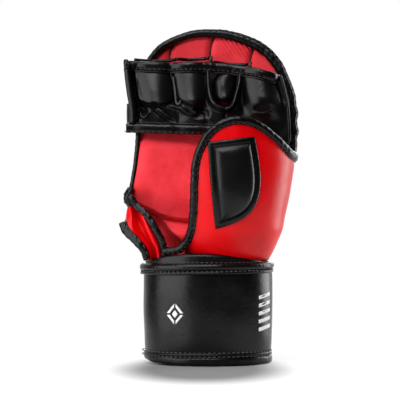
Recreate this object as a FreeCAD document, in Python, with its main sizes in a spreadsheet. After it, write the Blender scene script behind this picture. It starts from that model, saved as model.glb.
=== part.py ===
# Sparring glove for the right hand, standing on its wrist cuff.
# Frame: +Z towards the fingertips, -Y towards the palm side, +X towards the thumb.
# The origin is the centre of the wrist opening, at the cuff's lower edge. Millimetres.
import FreeCAD, Part
import Sketcher

import math
import os

doc = FreeCAD.newDocument("SparringGlove")

# ---------------------------------------------------------------- driving dimensions

DIMENSIONS = {
    "leather": 1.5,
    "lining": 1.2,
    # wrist cuff: two turns of a padded strap round an inner sleeve, all oval
    "cuff_half_width": 47.0,
    "cuff_half_depth": 35.0,
    "strap_height": 75.0,
    "strap_hem": 7.0,
    "hem_proud": 0.8,
    "outer_foam": 3.5,
    "inner_turn": 2.5,
    "cuff_top": 80.0,
    "rim_spread": 2.6,
    "sleeve_base": 4.0,
    "sleeve_slit": 7.0,
    "sleeve_slit_x": -22.0,
    # free end of the strap, on the back of the wrist
    "fastener": 1.2,
    "fastener_gap": 0.4,
    "tab_left": -30.0,
    "tab_right": 34.0,
    "tab_base": 10.0,
    "tab_top": 65.0,
    "tab_root_gap": 0.3,
    "tab_leather": 2.0,
    "patch_inset": 4.0,
    # back of the hand: nested ellipsoids about one centre
    "hand_base": 88.0,
    "hand_top": 154.0,
    "hand_x": 2.0,
    "hand_y": -8.0,
    "hand_z": 125.0,
    "hand_half_width": 60.0,
    "hand_half_depth": 46.0,
    "hand_half_height": 68.0,
    "hand_foam": 13.0,
    "edge_foam": 2.5,  # the padding thins out towards the sides
    "hand_front": 2.0,
    "side_right": -20.0,  # left of this the back pad turns forwards, round the hand's edge
    "side_top": 150.0,
    "piping": 2.6,
    "piping_gap": 0.05,
    # heel of the palm, on the little-finger side
    "heel_depth": 22.0,
    "heel_leather": 2.5,
    "heel_hem": 1.5,
    # knuckle pad: spherical outside, almost flat inside, oval outline
    "pad_base": 161.5,
    "pad_x": 5.0,
    "pad_z": 165.0,
    "pad_half_width": 62.0,
    "pad_half_height": 77.0,
    "pad_ball": 90.0,
    "pad_ball_x": 3.0,
    "pad_ball_y": -50.0,
    "pad_ball_z": 175.0,
    "inside_ball": 200.0,
    "inside_y": 14.0,
    "pad_binding": 3.6,
    "pad_binding_y": 8.0,
    "pad_inset": 8.2,  # from the rolled edge's outside to the pad inside it
    "rib_proud": 3.0,
    "rib_width": 19.0,
    "rib_pitch": 24.0,
    "rib_base": 176.0,
    "rib_top": 216.0,
    # finger loops on the palm side of the knuckle pad
    "loop_left": -58.0,
    "loop_pitch": 28.25,
    "loop_valley_y": -12.0,
    "loop_bulge": 8.0,
    "loop_leather": 2.2,
    "loop_base": 168.0,
    "loop_hem": 7.0,
    "loop_hem_thick": 1.0,
    "loop_top_1": 221.0,  # little finger
    "loop_top_2": 222.0,
    "loop_top_3": 218.0,
    "loop_top_4": 213.0,
    "loop_wall": 2.0,
    "flange_back_y": 4.4,
    # thumb cover: half a padded tube, as nested ellipsoids about one centre
    "thumb_x": 12.0,
    "thumb_y": -4.0,
    "thumb_z": 150.0,
    "thumb_half_width": 50.0,
    "thumb_half_depth": 46.0,
    "thumb_half_height": 85.0,
    "thumb_foam": 7.0,
    "thumb_left": -13.0,
    "arch_x": 24.0,
    "arch_z": 130.0,
    "arch_top": 177.0,
    "thumb_binding": 3.0,
    # raised pad on the thumb cover
    "badge_left": 0.0,
    "badge_width": 38.0,
    "badge_base": 99.0,
    "badge_height": 65.0,
    "badge_border": 4.5,
    "badge_proud": 3.0,
}

sheet = doc.addObject("Spreadsheet::Sheet", "Dims")
for row, (alias, value) in enumerate(DIMENSIONS.items(), start=1):
    sheet.set(f"A{row}", alias)
    sheet.set(f"B{row}", str(value))
    sheet.setAlias(f"B{row}", alias)
doc.recompute()


def size(alias):
    """The value of a driving dimension, for shapes made in code."""
    return float(sheet.get(alias))


def cells(formula):
    """Turns the dimension names in a formula into references to the sheet's cells."""
    words = str(formula).replace("(", " ( ").replace(")", " ) ").split()
    return " ".join("Dims." + word if sheet.getCellFromAlias(word) else word for word in words)


def bind(item, **formulas):
    """Binds an object's properties to formulas of driving dimensions."""
    for name, formula in formulas.items():
        item.setExpression(name, cells(formula))
    return item


def place(item, x="0", y="0", z="0"):
    """Binds an object's position to formulas of driving dimensions."""
    for axis, formula in (("x", x), ("y", y), ("z", z)):
        item.setExpression(f"Placement.Base.{axis}", cells(formula))
    return item


# ---------------------------------------------------------------- building blocks

nodes = []


def node(label, item):
    """Names a finished sub-part, so that it is checked and exported."""
    item.Label = label
    nodes.append(item)
    return item


def minus(name, base, tool):
    item = doc.addObject("Part::Cut", name)
    item.Base = base
    item.Tool = tool
    return item


def overlap(name, *items):
    item = doc.addObject("Part::MultiCommon", name)
    item.Shapes = list(items)
    return item


def joined(name, *items):
    item = doc.addObject("Part::MultiFuse", name)
    item.Shapes = list(items)
    return item


def group(name, *items):
    item = doc.addObject("Part::Compound", name)
    item.Links = list(items)
    return item


def block(name, x, y, z):
    """A box between two formulas along each axis."""
    item = doc.addObject("Part::Box", name)
    bind(item, Length=f"{x[1]} - ({x[0]})", Width=f"{y[1]} - ({y[0]})", Height=f"{z[1]} - ({z[0]})")
    return place(item, x[0], y[0], z[0])


def extruded(name, base, direction, length):
    item = doc.addObject("Part::Extrusion", name)
    item.Base = base
    item.DirMode = "Custom"
    item.Dir = FreeCAD.Vector(*direction)
    item.Solid = True
    return bind(item, LengthFwd=length)


def ellipse(name, large, small):
    item = doc.addObject("Part::Ellipse", name)
    return bind(item, MajorRadius=large, MinorRadius=small)


def oval(name, inset, low, high):
    """An upright oval cylinder whose wall lies a depth in from the cuff's outer face."""
    curve = ellipse(name + "_curve", f"cuff_half_width - ({inset})", f"cuff_half_depth - ({inset})")
    place(curve, z=low)
    return extruded(name, curve, (0, 0, 1), f"{high} - ({low})")


def cuff_ring(name, outside, inside, low, high):
    """An oval ring between two depths in from the cuff's outer face."""
    outer = oval(name + "_outside", outside, low, high)
    return minus(name, outer, oval(name + "_inside", inside, low, high))


FRONT, BACK = "0 - 90", "90"  # planes well clear of the glove
LEFT, RIGHT = "0 - 70", "70"


def outline(name, half_width, half_height, x, z):
    """A prism along Y with an oval outline, taller than it is wide."""
    curve = ellipse(name + "_curve", half_height, half_width)
    curve.Placement.Rotation = FreeCAD.Rotation(FreeCAD.Vector(1, 1, 1), 240)  # X to Z, Y to X
    place(curve, x, FRONT, z)
    return extruded(name, curve, (0, 1, 0), f"{BACK} - ({FRONT})")


def panel(name, corners, front, back):
    """A prism along Y whose outline has the given corners (x, z)."""
    sketch = doc.addObject("Sketcher::SketchObject", name + "_sketch")
    sketch.Placement.Rotation = FreeCAD.Rotation(FreeCAD.Vector(1, 0, 0), 90)  # sketch Y to Z
    ends = corners[1:] + corners[:1]
    for start, end in zip(corners, ends):
        sketch.addGeometry(Part.LineSegment(FreeCAD.Vector(*start, 0), FreeCAD.Vector(*end, 0)))
    for number, (x, z) in enumerate(corners):
        following = (number + 1) % len(corners)
        sketch.addConstraint(Sketcher.Constraint("Coincident", number, 2, following, 1))
        sketch.addConstraint(Sketcher.Constraint("DistanceX", number, 1, x))
        sketch.addConstraint(Sketcher.Constraint("DistanceY", number, 1, z))
    place(sketch, y=back)
    return extruded(name, sketch, (0, -1, 0), f"{back} - ({front})")


def ball(name, radius, x, y, z):
    item = doc.addObject("Part::Sphere", name)
    bind(item, Radius=radius)
    return place(item, x, y, z)


def ellipsoid(name, centre, half_width, half_depth, half_height):
    item = doc.addObject("Part::Ellipsoid", name)
    item.Angle1 = -90
    bind(item, Radius1=half_height, Radius2=half_width, Radius3=half_depth)
    return place(item, *centre)


def bowl(name, part, side, middle):
    """An ellipsoid of the hand or thumb, shrunk by one depth at its sides and another in its middle."""
    return ellipsoid(
        name,
        (f"{part}_x", f"{part}_y", f"{part}_z"),
        f"{part}_half_width - ({side})",
        f"{part}_half_depth - ({middle})",
        f"{part}_half_height - ({side})",
    )


def curved_sheet(name, part, outer, inner, limits):
    """The space between two nested ellipsoids of the hand or thumb, inside the limits."""
    skin = minus(name + "_skin", bowl(name + "_outer", part, *outer), bowl(name + "_inner", part, *inner))
    return overlap(name, skin, limits)


def rounded_route(points):
    """A wire of straight runs joined by tangent arcs, each as large as its runs allow."""
    points = [FreeCAD.Vector(*point) for point in points]
    edges = []
    start = points[0]
    for before, corner, after in zip(points, points[1:], points[2:]):
        back = (before - corner).normalize()
        ahead = (after - corner).normalize()
        half_turn = (math.pi - back.getAngle(ahead)) / 2
        reach = 0.45 * min(before.distanceToPoint(corner), after.distanceToPoint(corner))
        radius = reach / math.tan(half_turn)
        inwards = (back + ahead).normalize()
        middle = corner + inwards * (math.hypot(radius, reach) - radius)
        enter = corner + back * reach
        leave = corner + ahead * reach
        edges.append(Part.LineSegment(start, enter).toShape())
        edges.append(Part.Arc(enter, middle, leave).toShape())
        start = leave
    edges.append(Part.LineSegment(start, points[-1]).toShape())
    return Part.Wire(edges)


def roll(name, points, radius):
    """A rolled edge or a piping: a round section swept along a route."""
    wire = rounded_route(points)
    first = wire.Edges[0]
    circle = Part.makeCircle(radius, FreeCAD.Vector(*points[0]), first.tangentAt(first.FirstParameter))
    item = doc.addObject("Part::Feature", name)
    item.Shape = wire.makePipeShell([Part.Wire([circle])], True, False)
    expected = math.pi * radius**2 * wire.Length
    assert abs(item.Shape.Volume - expected) < 0.03 * expected, f"{name} has the wrong volume"
    return item


# ---------------------------------------------------------------- wrist cuff

upper_hem = "strap_height - strap_hem"
foam_in = "leather + outer_foam"
turn_in = "leather + outer_foam + inner_turn"
sleeve_in = "2 * leather + outer_foam + inner_turn"

node("strap_shell", cuff_ring("StrapShell", "0", "leather", "strap_hem", upper_hem))
node("strap_foam", cuff_ring("StrapFoam", "leather", foam_in, "strap_hem", upper_hem))
node("strap_bottom_binding", cuff_ring("StrapBottomBinding", "0 - hem_proud", foam_in, "0", "strap_hem"))
node("strap_top_binding", cuff_ring("StrapTopBinding", "0 - hem_proud", foam_in, upper_hem, "strap_height"))
node("strap_inner_turn", cuff_ring("InnerTurn", foam_in, turn_in, "sleeve_base", "strap_height"))
node("inner_turn_rim", cuff_ring("InnerRim", "rim_spread", turn_in, "strap_height", "cuff_top"))
sleeve = cuff_ring("SleeveRing", turn_in, sleeve_in, "sleeve_base", "cuff_top")
slit_x = ("sleeve_slit_x - sleeve_slit / 2", "sleeve_slit_x + sleeve_slit / 2")
node("wrist_sleeve", minus("Sleeve", sleeve, block("SleeveSlit", slit_x, (FRONT, "0"), ("0", "cuff_top"))))
# The neck is soft: it folds between the cuff and the hand as the wrist bends.
neck_out = "rim_spread + leather"
node("wrist_neck", cuff_ring("WristNeck", neck_out, neck_out + " + leather", "cuff_top", "hand_base"))

# ---------------------------------------------------------------- strap end


def back_patch(name, outside, inside, x, z):
    """Part of an oval ring on the back of the wrist."""
    ring = cuff_ring(name + "_ring", outside, inside, z[0], z[1])
    return overlap(name, ring, block(name + "_window", x, ("0", BACK), z))


patch_x = ("tab_left + patch_inset", "tab_right - 2 * patch_inset")
patch_z = ("tab_base + patch_inset", "tab_top - patch_inset")
hook_inside = "0 - fastener - fastener_gap"
tab_inside = "0 - 2 * fastener - fastener_gap"
tab_outside = "0 - 2 * fastener - fastener_gap - tab_leather"
node("strap_loop_patch", back_patch("LoopPatch", "0 - fastener", "0", patch_x, patch_z))
node("tab_hook_patch", back_patch("HookPatch", tab_inside, hook_inside, patch_x, patch_z))
tab_x, tab_z = ("tab_left", "tab_right"), ("tab_base", "tab_top")
node("strap_tab", back_patch("Tab", tab_outside, tab_inside, tab_x, tab_z))
# The root stays on the cuff: the tab bends at the root's edge.
root_x = ("tab_right + tab_root_gap", "tab_right + 6")
node("strap_tab_root", back_patch("TabRoot", tab_outside, "0", root_x, tab_z))

# ---------------------------------------------------------------- padded skins

# Depths of each layer's outer and inner faces: at the sides, then in the middle.
SURFACE = ("0", "0")
UNDER_LEATHER = ("leather", "leather")


def padded_skins(part, label, limits):
    """Leather outside, foam, and lining inside, all with the same cut edges."""
    under_foam = ("leather + edge_foam", f"leather + {part}_foam")
    under_lining = ("leather + edge_foam + lining", f"leather + {part}_foam + lining")
    layers = (
        ("shell", SURFACE, UNDER_LEATHER),
        ("foam", UNDER_LEATHER, under_foam),
        ("lining", under_foam, under_lining),
    )
    for layer, outer, inner in layers:
        node(f"{label}_{layer}", curved_sheet(f"{label}_{layer}_sheet", part, outer, inner, limits))


# ---------------------------------------------------------------- back of the hand

back_half = block("HandBackHalf", (LEFT, RIGHT), ("hand_front", BACK), ("hand_base", "hand_top"))
side_half = block("HandSide", (LEFT, "side_right"), ("hand_y", "hand_front"), ("hand_base", "side_top"))
padded_skins("hand", "hand_back", joined("HandLimits", back_half, side_half))


def hand_edge(z):
    """Middle of the little-finger edge's wall at a height, just in front of the back pad."""
    wall = size("leather") + size("edge_foam") + size("lining")
    narrowing = math.sqrt(1 - ((z - size("hand_z")) / size("hand_half_height")) ** 2)
    x = size("hand_x") - size("hand_half_width") * narrowing + wall / 2
    return x, size("hand_y") - size("piping") - size("piping_gap"), z


PIPING_HEIGHTS = (128.0, 136.0, 143.0, 150.0)
node("ulnar_piping", roll("UlnarPiping", [hand_edge(z) for z in PIPING_HEIGHTS], size("piping")))

# The heel of the palm: a leather panel with a corded upper edge and a bound lower edge.
HEEL_CORNERS = [(-62, 121), (-55, 121), (-41, 109), (-30, 92), (-29, 88), (-42, 88), (-54, 104), (-62, 104)]
CORD_CORNERS = [(-55, 121), (-52, 125), (-37, 112.5), (-25.5, 93.5), (-24.5, 88), (-29, 88), (-30, 92)]
CORD_CORNERS += [(-41, 109)]
BINDING_CORNERS = [(-62, 104), (-54, 104), (-42, 88), (-62, 88)]


def heel_piece(label, corners, proud):
    """A piece of the palm's curved sheet with the given outline."""
    centre = ("hand_x", "hand_y", "hand_z")
    faces = [
        ellipsoid(
            f"{label}_{side}",
            centre,
            f"hand_half_width + {grow}",
            f"heel_depth + {grow}",
            f"hand_half_height + {grow}",
        )
        for side, grow in (("outer", proud), ("inner", "(0 - heel_leather)"))
    ]
    skin = minus(label + "_skin", *faces)
    node(label, overlap(label + "_sheet", skin, panel(label + "_panel", corners, FRONT, "hand_y")))


heel_piece("heel_panel", HEEL_CORNERS, "0")
heel_piece("heel_cord", CORD_CORNERS, "heel_hem")
heel_piece("heel_binding", BINDING_CORNERS, "heel_hem")

# ---------------------------------------------------------------- knuckle pad

pad_centre = ("pad_ball_x", "pad_ball_y", "pad_ball_z")
inside_centre = ("pad_ball_x", "inside_y - inside_ball", "pad_ball_z")
pad_top = "pad_z + pad_half_height"


def inside_pad(name):
    """The space inside the pad's rolled edge, above the knuckle fold."""
    trimmed = [f"pad_half_{side} - pad_inset" for side in ("width", "height")]
    oval_prism = outline(name + "_outline", *trimmed, "pad_x", "pad_z")
    window = block(name + "_window", (LEFT, RIGHT), ("0 - 30", BACK), ("pad_base", pad_top))
    return overlap(name, oval_prism, window)


def ball_skin(name, radius, thickness, centre):
    """A spherical sheet."""
    outer = ball(name + "_outer", radius, *centre)
    return minus(name, outer, ball(name + "_inner", f"{radius} - {thickness}", *centre))


shell_ball = ball_skin("KnuckleSkin", "pad_ball", "leather", pad_centre)
node("knuckle_shell", overlap("KnuckleShell", shell_ball, inside_pad("ShellSpace")))
foam_outside = ball("FoamOutside", "pad_ball - leather", *pad_centre)
foam_ball = overlap("FoamBall", foam_outside, inside_pad("FoamSpace"))
node("knuckle_foam", minus("KnuckleFoam", foam_ball, ball("FoamInside", "inside_ball", *inside_centre)))
lining_ball = ball_skin("LiningSkin", "inside_ball", "lining", inside_centre)
node("finger_lining", overlap("FingerLining", lining_ball, inside_pad("LiningSpace")))

# The knuckle fold is soft: it stretches as the fingers bend.
fold_limits = block("FoldLimits", (LEFT, RIGHT), ("hand_front", BACK), ("hand_top", "pad_base"))
node("knuckle_fold", curved_sheet("KnuckleFold", "hand", SURFACE, UNDER_LEATHER, fold_limits))

RIB_COUNT = 4
ribs = []
for number in range(RIB_COUNT):
    middle = f"pad_x + ({number - (RIB_COUNT - 1) / 2}) * rib_pitch"
    skin = ball_skin(f"RibSkin{number}", "(pad_ball + rib_proud)", "rib_proud", pad_centre)
    rib_x = (f"{middle} - rib_width / 2", f"{middle} + rib_width / 2")
    rib_limits = block(f"RibLimits{number}", rib_x, ("0", BACK), ("rib_base", "rib_top"))
    ribs.append(overlap(f"Rib{number}", skin, rib_limits))
node("knuckle_ribs", group("KnuckleRibs", *ribs))


def pad_rim(degrees):
    """A point on the middle of the pad's rolled edge; the angle is up from the thumb side."""
    x = size("pad_x") + (size("pad_half_width") - size("pad_binding")) * math.cos(math.radians(degrees))
    z = size("pad_z") + (size("pad_half_height") - size("pad_binding")) * math.sin(math.radians(degrees))
    return x, size("pad_binding_y"), z


RIM_BELOW = -4  # degrees under the level of the oval's centre, on each side
RIM_STEP = 12
rim = [pad_rim(degrees) for degrees in range(RIM_BELOW, 180 - RIM_BELOW + RIM_STEP, RIM_STEP)]
node("knuckle_binding", roll("KnuckleBinding", rim, size("pad_binding") - 0.15))

# ---------------------------------------------------------------- finger loops

half_pitch = "loop_pitch / 2"
crest_radius = f"(({half_pitch}) * ({half_pitch}) + loop_bulge * loop_bulge) / (2 * loop_bulge)"
valley_back = "loop_valley_y + loop_leather"
front_base = "loop_base + loop_hem"


def scallop(name, number, proud, low, high):
    """The bulged front of one finger loop: an arc of a tube between two valleys."""
    x = f"loop_left + loop_pitch * {number + 0.5}"
    y = f"loop_valley_y - loop_bulge + {crest_radius}"
    tubes = []
    for side, grow in (("outside", proud), ("inside", f"0 - loop_leather - ({proud})")):
        tube = doc.addObject("Part::Cylinder", f"{name}_{side}")
        bind(tube, Radius=f"{crest_radius} + ({grow})", Height=f"{high} - ({low})")
        tubes.append(place(tube, x, y, low))
    window_x = (f"{x} - {half_pitch}", f"{x} + {half_pitch}")
    window = block(name + "_window", window_x, (FRONT, valley_back), (low, high))
    return overlap(name, minus(name + "_tube", *tubes), window)


LOOP_COUNT = 4
fronts, bottom_bindings, top_bindings = [], [], []
for number in range(LOOP_COUNT):
    top = f"loop_top_{number + 1}"
    fronts.append(scallop(f"Front{number}", number, "0", front_base, f"{top} - loop_hem"))
    bottom_bindings.append(scallop(f"BottomHem{number}", number, "loop_hem_thick", "loop_base", front_base))
    top_bindings.append(scallop(f"TopHem{number}", number, "loop_hem_thick", f"{top} - loop_hem", top))
node("finger_loop_front", group("LoopFront", *fronts))
node("finger_loop_bottom_binding", group("LoopBottomBinding", *bottom_bindings))
node("finger_loop_top_binding", group("LoopTopBinding", *top_bindings))

loops_back = "(inside_ball - lining)"
band_x = ("loop_left + 17", "loop_left + 3.5 * loop_pitch")
band_limits = block("LoopBackLimits", band_x, ("0", BACK), ("loop_base + 4", "loop_top_4"))
backs = ball_skin("LoopBackSkin", loops_back, "leather", inside_centre)
node("finger_loop_backs", overlap("LoopBacks", backs, band_limits))

dividers = []
for number in range(1, LOOP_COUNT):
    middle = f"loop_left + loop_pitch * {number}"
    wall_x = (f"{middle} - loop_wall / 2", f"{middle} + loop_wall / 2")
    wall_z = ("loop_base + 4", "loop_top_4 - 2")
    wall = block(f"DividerWall{number}", wall_x, (valley_back, BACK), wall_z)
    front_of_backs = ball(f"DividerEnd{number}", "inside_ball - lining - leather", *inside_centre)
    dividers.append(overlap(f"Divider{number}", wall, front_of_backs))
node("finger_dividers", group("FingerDividers", *dividers))


def loop_end(label, x, flange_x, top):
    """The wall that closes the row of loops at one side, with a flange sewn to the pad's edge."""
    wall = block(label + "_wall", x, ("loop_valley_y", "flange_back_y"), ("loop_base", top))
    flange_y = ("flange_back_y - loop_wall", "flange_back_y")
    flange = block(label + "_flange", flange_x, flange_y, ("loop_base", top))
    node(label, joined(label + "_both", wall, flange))


row_end = "loop_left + 4 * loop_pitch"
little_x = ("loop_left - loop_wall", "loop_left")
index_x = (row_end, row_end + " + loop_wall")
loop_end("little_finger_wall", little_x, ("loop_left", "loop_left + 12"), "loop_top_1")
loop_end("index_finger_wall", index_x, (row_end + " - 7", row_end), "loop_top_4")

# ---------------------------------------------------------------- thumb cover

arch = outline("ThumbArch", "arch_x - thumb_left", "arch_top - arch_z", "arch_x", "arch_z")
skirt = block("ThumbSkirt", ("thumb_left", RIGHT), (FRONT, "0"), ("hand_base", "arch_z"))
front_half = block("ThumbFrontHalf", ("0 - 30", RIGHT), (FRONT, "thumb_y"), ("hand_base", "200"))
thumb_limits = overlap("ThumbLimits", joined("ThumbOutline", arch, skirt), front_half)
padded_skins("thumb", "thumb", thumb_limits)


def thumb_surface(x, z):
    """The point of the thumb cover's outer face at a place seen from the front."""
    share = 1 - ((x - size("thumb_x")) / size("thumb_half_width")) ** 2
    share -= ((z - size("thumb_z")) / size("thumb_half_height")) ** 2
    return x, size("thumb_y") - size("thumb_half_depth") * math.sqrt(max(share, 0.0)), z


def arch_rim(degrees):
    """A point beside the arch of the thumb cover; the angle is up from the thumb side."""
    beside = size("thumb_binding") + 1.2
    x = size("arch_x") + (size("arch_x") - size("thumb_left") + beside) * math.cos(math.radians(degrees))
    z = size("arch_z") + (size("arch_top") - size("arch_z") + beside) * math.sin(math.radians(degrees))
    return thumb_surface(x, z)


LOWER_RIM = [(-22.0, 90.5), (-18.0, 96.0), (-17.2, 110.0), (-17.0, 126.0)]
ARCH_DEGREES = (158, 136, 114, 92, 70, 50, 36)
rim = [thumb_surface(x, z) for x, z in LOWER_RIM] + [arch_rim(degrees) for degrees in ARCH_DEGREES]
node("thumb_binding", roll("ThumbBinding", rim, size("thumb_binding")))

# A gusset joins the cover's side to the back pad: it stretches as the thumb moves out.
gusset_y = ("thumb_y", "hand_front")
gusset_limits = block("GussetLimits", ("40", RIGHT), gusset_y, ("hand_base + 12", "side_top"))
node("thumb_gusset", curved_sheet("ThumbGusset", "hand", SURFACE, UNDER_LEATHER, gusset_limits))


def badge_prism(name, inset):
    """The raised pad's outline: straight above and on the inner side, round below."""
    centre_z = "badge_base + badge_height * 0.78"
    half_sizes = (f"badge_width + 2 - {inset}", f"badge_height * 0.78 - {inset}")
    round_side = outline(name + "_round", *half_sizes, "badge_left - 2", centre_z)
    window_x = (f"badge_left + {inset}", "badge_left + badge_width")
    window_z = ("badge_base", f"badge_base + badge_height - {inset}")
    window = block(name + "_window", window_x, (FRONT, "thumb_y"), window_z)
    return overlap(name, round_side, window)


def raised(value):
    return (f"0 - {value}", f"0 - {value}")


badge_shape = badge_prism("BadgeOutline", "badge_border")
node("thumb_badge", curved_sheet("Badge", "thumb", raised("badge_proud"), SURFACE, badge_shape))
border_hole = badge_prism("BorderHole", "badge_border")
border_shape = minus("BorderOutline", badge_prism("BorderEdge", "0"), border_hole)
node("thumb_badge_border", curved_sheet("BadgeBorder", "thumb", raised("leather"), SURFACE, border_shape))

# ---------------------------------------------------------------- checks and export

doc.recompute()
failed = [item.Label for item in doc.Objects if {"Invalid", "Error"} & set(item.State)]
assert not failed, f"not rebuilt: {failed}"
for item in nodes:
    shape = item.Shape
    assert not shape.isNull() and shape.isValid(), f"{item.Label} has no valid shape"
    assert shape.Solids and min(solid.Volume for solid in shape.Solids) > 10, f"{item.Label} is too thin"
os.makedirs("parts", exist_ok=True)
for item in nodes:
    item.Shape.exportStep(f"parts/{item.Label}.step")
    print(f"{item.Label:28s} solids {len(item.Shape.Solids)}  volume {item.Shape.Volume / 1000:7.2f} cm3")
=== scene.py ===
import math

import bmesh
import bpy
import numpy as np
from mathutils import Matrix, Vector


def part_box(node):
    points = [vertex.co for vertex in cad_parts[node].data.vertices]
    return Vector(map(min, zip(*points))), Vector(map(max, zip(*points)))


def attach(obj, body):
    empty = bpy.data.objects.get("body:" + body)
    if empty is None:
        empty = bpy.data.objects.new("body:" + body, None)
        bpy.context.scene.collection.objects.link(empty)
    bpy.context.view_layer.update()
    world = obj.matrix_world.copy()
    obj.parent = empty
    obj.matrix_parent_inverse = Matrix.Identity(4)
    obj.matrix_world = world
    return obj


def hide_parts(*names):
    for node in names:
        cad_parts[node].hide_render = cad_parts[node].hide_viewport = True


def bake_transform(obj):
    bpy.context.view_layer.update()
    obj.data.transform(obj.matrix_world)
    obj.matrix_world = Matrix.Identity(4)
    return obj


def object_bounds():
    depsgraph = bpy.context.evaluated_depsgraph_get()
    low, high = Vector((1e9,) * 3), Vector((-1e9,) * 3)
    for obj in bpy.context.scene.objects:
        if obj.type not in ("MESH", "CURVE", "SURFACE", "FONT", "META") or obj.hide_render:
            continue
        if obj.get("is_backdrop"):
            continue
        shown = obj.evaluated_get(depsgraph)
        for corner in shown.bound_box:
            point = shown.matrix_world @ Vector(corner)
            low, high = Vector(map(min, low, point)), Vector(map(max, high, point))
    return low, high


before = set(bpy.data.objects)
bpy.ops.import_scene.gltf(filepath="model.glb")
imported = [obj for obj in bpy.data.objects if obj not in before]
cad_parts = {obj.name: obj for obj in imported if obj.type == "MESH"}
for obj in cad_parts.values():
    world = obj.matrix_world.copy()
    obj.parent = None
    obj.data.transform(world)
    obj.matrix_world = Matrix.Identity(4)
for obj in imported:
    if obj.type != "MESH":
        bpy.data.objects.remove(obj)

# A padded sparring glove, seen from the palm side. Sizes in this file are millimetres in the shared
# frame, unless a comment says metres: X towards the thumb, -Y towards the palm side and the camera,
# Z towards the fingertips.
MM = 0.001
TURN = 2 * math.pi
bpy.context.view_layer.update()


def box_mm(node):
    """A CAD node's lowest and highest corners, in millimetres."""
    low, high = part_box(node)
    return np.array(low) / MM, np.array(high) / MM


# ---------------------------------------------------------------- mesh building


def grid_faces(rows, columns, wrap_rows=False, wrap_columns=False):
    """Quads of a grid of vertices stored row by row."""
    r, c = np.meshgrid(
        np.arange(rows if wrap_rows else rows - 1),
        np.arange(columns if wrap_columns else columns - 1),
        indexing="ij",
    )
    down, across = (r + 1) % rows, (c + 1) % columns
    corners = (r * columns + c, r * columns + across, down * columns + across, down * columns + c)
    return np.stack([corner.ravel() for corner in corners], axis=1)


def tube_faces(rings, sides):
    """Faces of a tube with closed ends, its points stored ring by ring."""
    last = (rings - 1) * sides
    ends = [list(range(sides))[::-1], list(range(last, last + sides))]
    return grid_faces(rings, sides, wrap_columns=True).tolist() + ends


def add_object(name, data):
    """An object with this data, put in the scene."""
    made = bpy.data.objects.new(name, data)
    bpy.context.scene.collection.objects.link(made)
    return made


def piece(name, points, faces, material, body=None):
    """A smooth-shaded mesh object from points in millimetres, with its normals facing out."""
    mesh = bpy.data.meshes.new(name)
    mesh.from_pydata((np.asarray(points, float).reshape(-1, 3) * MM).tolist(), [], [list(f) for f in faces])
    work = bmesh.new()
    work.from_mesh(mesh)
    bmesh.ops.dissolve_degenerate(work, dist=1e-6, edges=work.edges)
    bmesh.ops.recalc_face_normals(work, faces=work.faces)
    work.to_mesh(mesh)
    work.free()
    mesh.polygons.foreach_set("use_smooth", [True] * len(mesh.polygons))
    mesh.materials.append(material)
    made = add_object(name, mesh)
    if body:
        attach(made, body)
    return made


def joined(parts):
    """Several pairs of points and faces as one such pair."""
    points, faces = [], []
    for own_points, own_faces in parts:
        faces += [[corner + len(points) for corner in face] for face in own_faces]
        points += list(own_points)
    return points, faces


def stacked(*parts):
    """Points (or vectors) from their components, brought to one shape."""
    return np.stack(np.broadcast_arrays(*parts), axis=-1)


def unit(vectors):
    """The same directions with a length of 1."""
    return vectors / np.maximum(np.linalg.norm(vectors, axis=-1, keepdims=True), 1e-9)


def grid_normals(grid, side):
    """Unit normals of a grid of points; side is the sign of their Y at its middle."""
    normals = unit(np.cross(np.gradient(grid, axis=0), np.gradient(grid, axis=1)))
    return normals * (side * np.sign(normals[grid.shape[0] // 2, grid.shape[1] // 2, 1]))


def sheet_parts(front, back, keep=None):
    """Points and faces of a closed sheet between two grids; keep says which of its quads it has."""
    quads = grid_faces(*front.shape[:2])
    if keep is not None:
        quads = quads[keep.ravel()]
    count = front.shape[0] * front.shape[1]
    edges = {(int(a), int(b)): True for quad in quads for a, b in zip(quad, np.roll(quad, -1))}
    rim = [(a, b, b + count, a + count) for a, b in edges if (b, a) not in edges]
    faces = quads.tolist() + (quads[:, ::-1] + count).tolist() + rim
    used, numbers = np.unique(np.array(faces), return_inverse=True)
    points = np.concatenate([front.reshape(-1, 3), back.reshape(-1, 3)])
    return points[used], numbers.reshape(-1, 4).tolist()


def solid_sheet(name, front, back, material, body=None, keep=None):
    """A closed sheet between a grid and another one, or the same one moved by a vector."""
    if np.ndim(back) == 1:
        back = front + np.array(back)
    return piece(name, *sheet_parts(front, back, keep), material, body)


def lengths_along(line):
    """How far along a line each of its points is."""
    return np.concatenate([[0], np.cumsum(np.linalg.norm(np.diff(line, axis=0), axis=1))])


def read_at(line, own, at):
    """A line whose points are at the places own, read at other places."""
    return np.column_stack([np.interp(at, own, line[:, k]) for k in range(line.shape[1])])


def resample(line, step):
    """The same line, with points every step millimetres."""
    lengths = lengths_along(line)
    return read_at(line, lengths, np.linspace(0, lengths[-1], max(2, round(lengths[-1] / step) + 1)))


def spread(line, count):
    """The line with another number of points."""
    return read_at(line, np.linspace(0, 1, len(line)), np.linspace(0, 1, count))


def smooth_line(points, step):
    """Points every step millimetres along a smooth line through the given ones."""
    given = np.array(points, float)
    ends = np.vstack([2 * given[0] - given[1], given, 2 * given[-1] - given[-2]])
    t = np.linspace(0, 1, 24, endpoint=False)[:, None]
    spans = []
    for a, b, c, d in zip(ends, ends[1:], ends[2:], ends[3:]):
        cubic = (3 * b - a - 3 * c + d) * t**3 + (2 * a - 5 * b + 4 * c - d) * t**2
        spans.append(b + 0.5 * (cubic + (c - a) * t))
    return resample(np.vstack(spans + [given[-1:]]), step)


def profile(heights, values):
    """A smooth function of height through a few chosen values."""
    line = smooth_line(list(zip(heights, values)), 1.0)
    return lambda z: np.interp(z, line[:, 0], line[:, 1])


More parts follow.
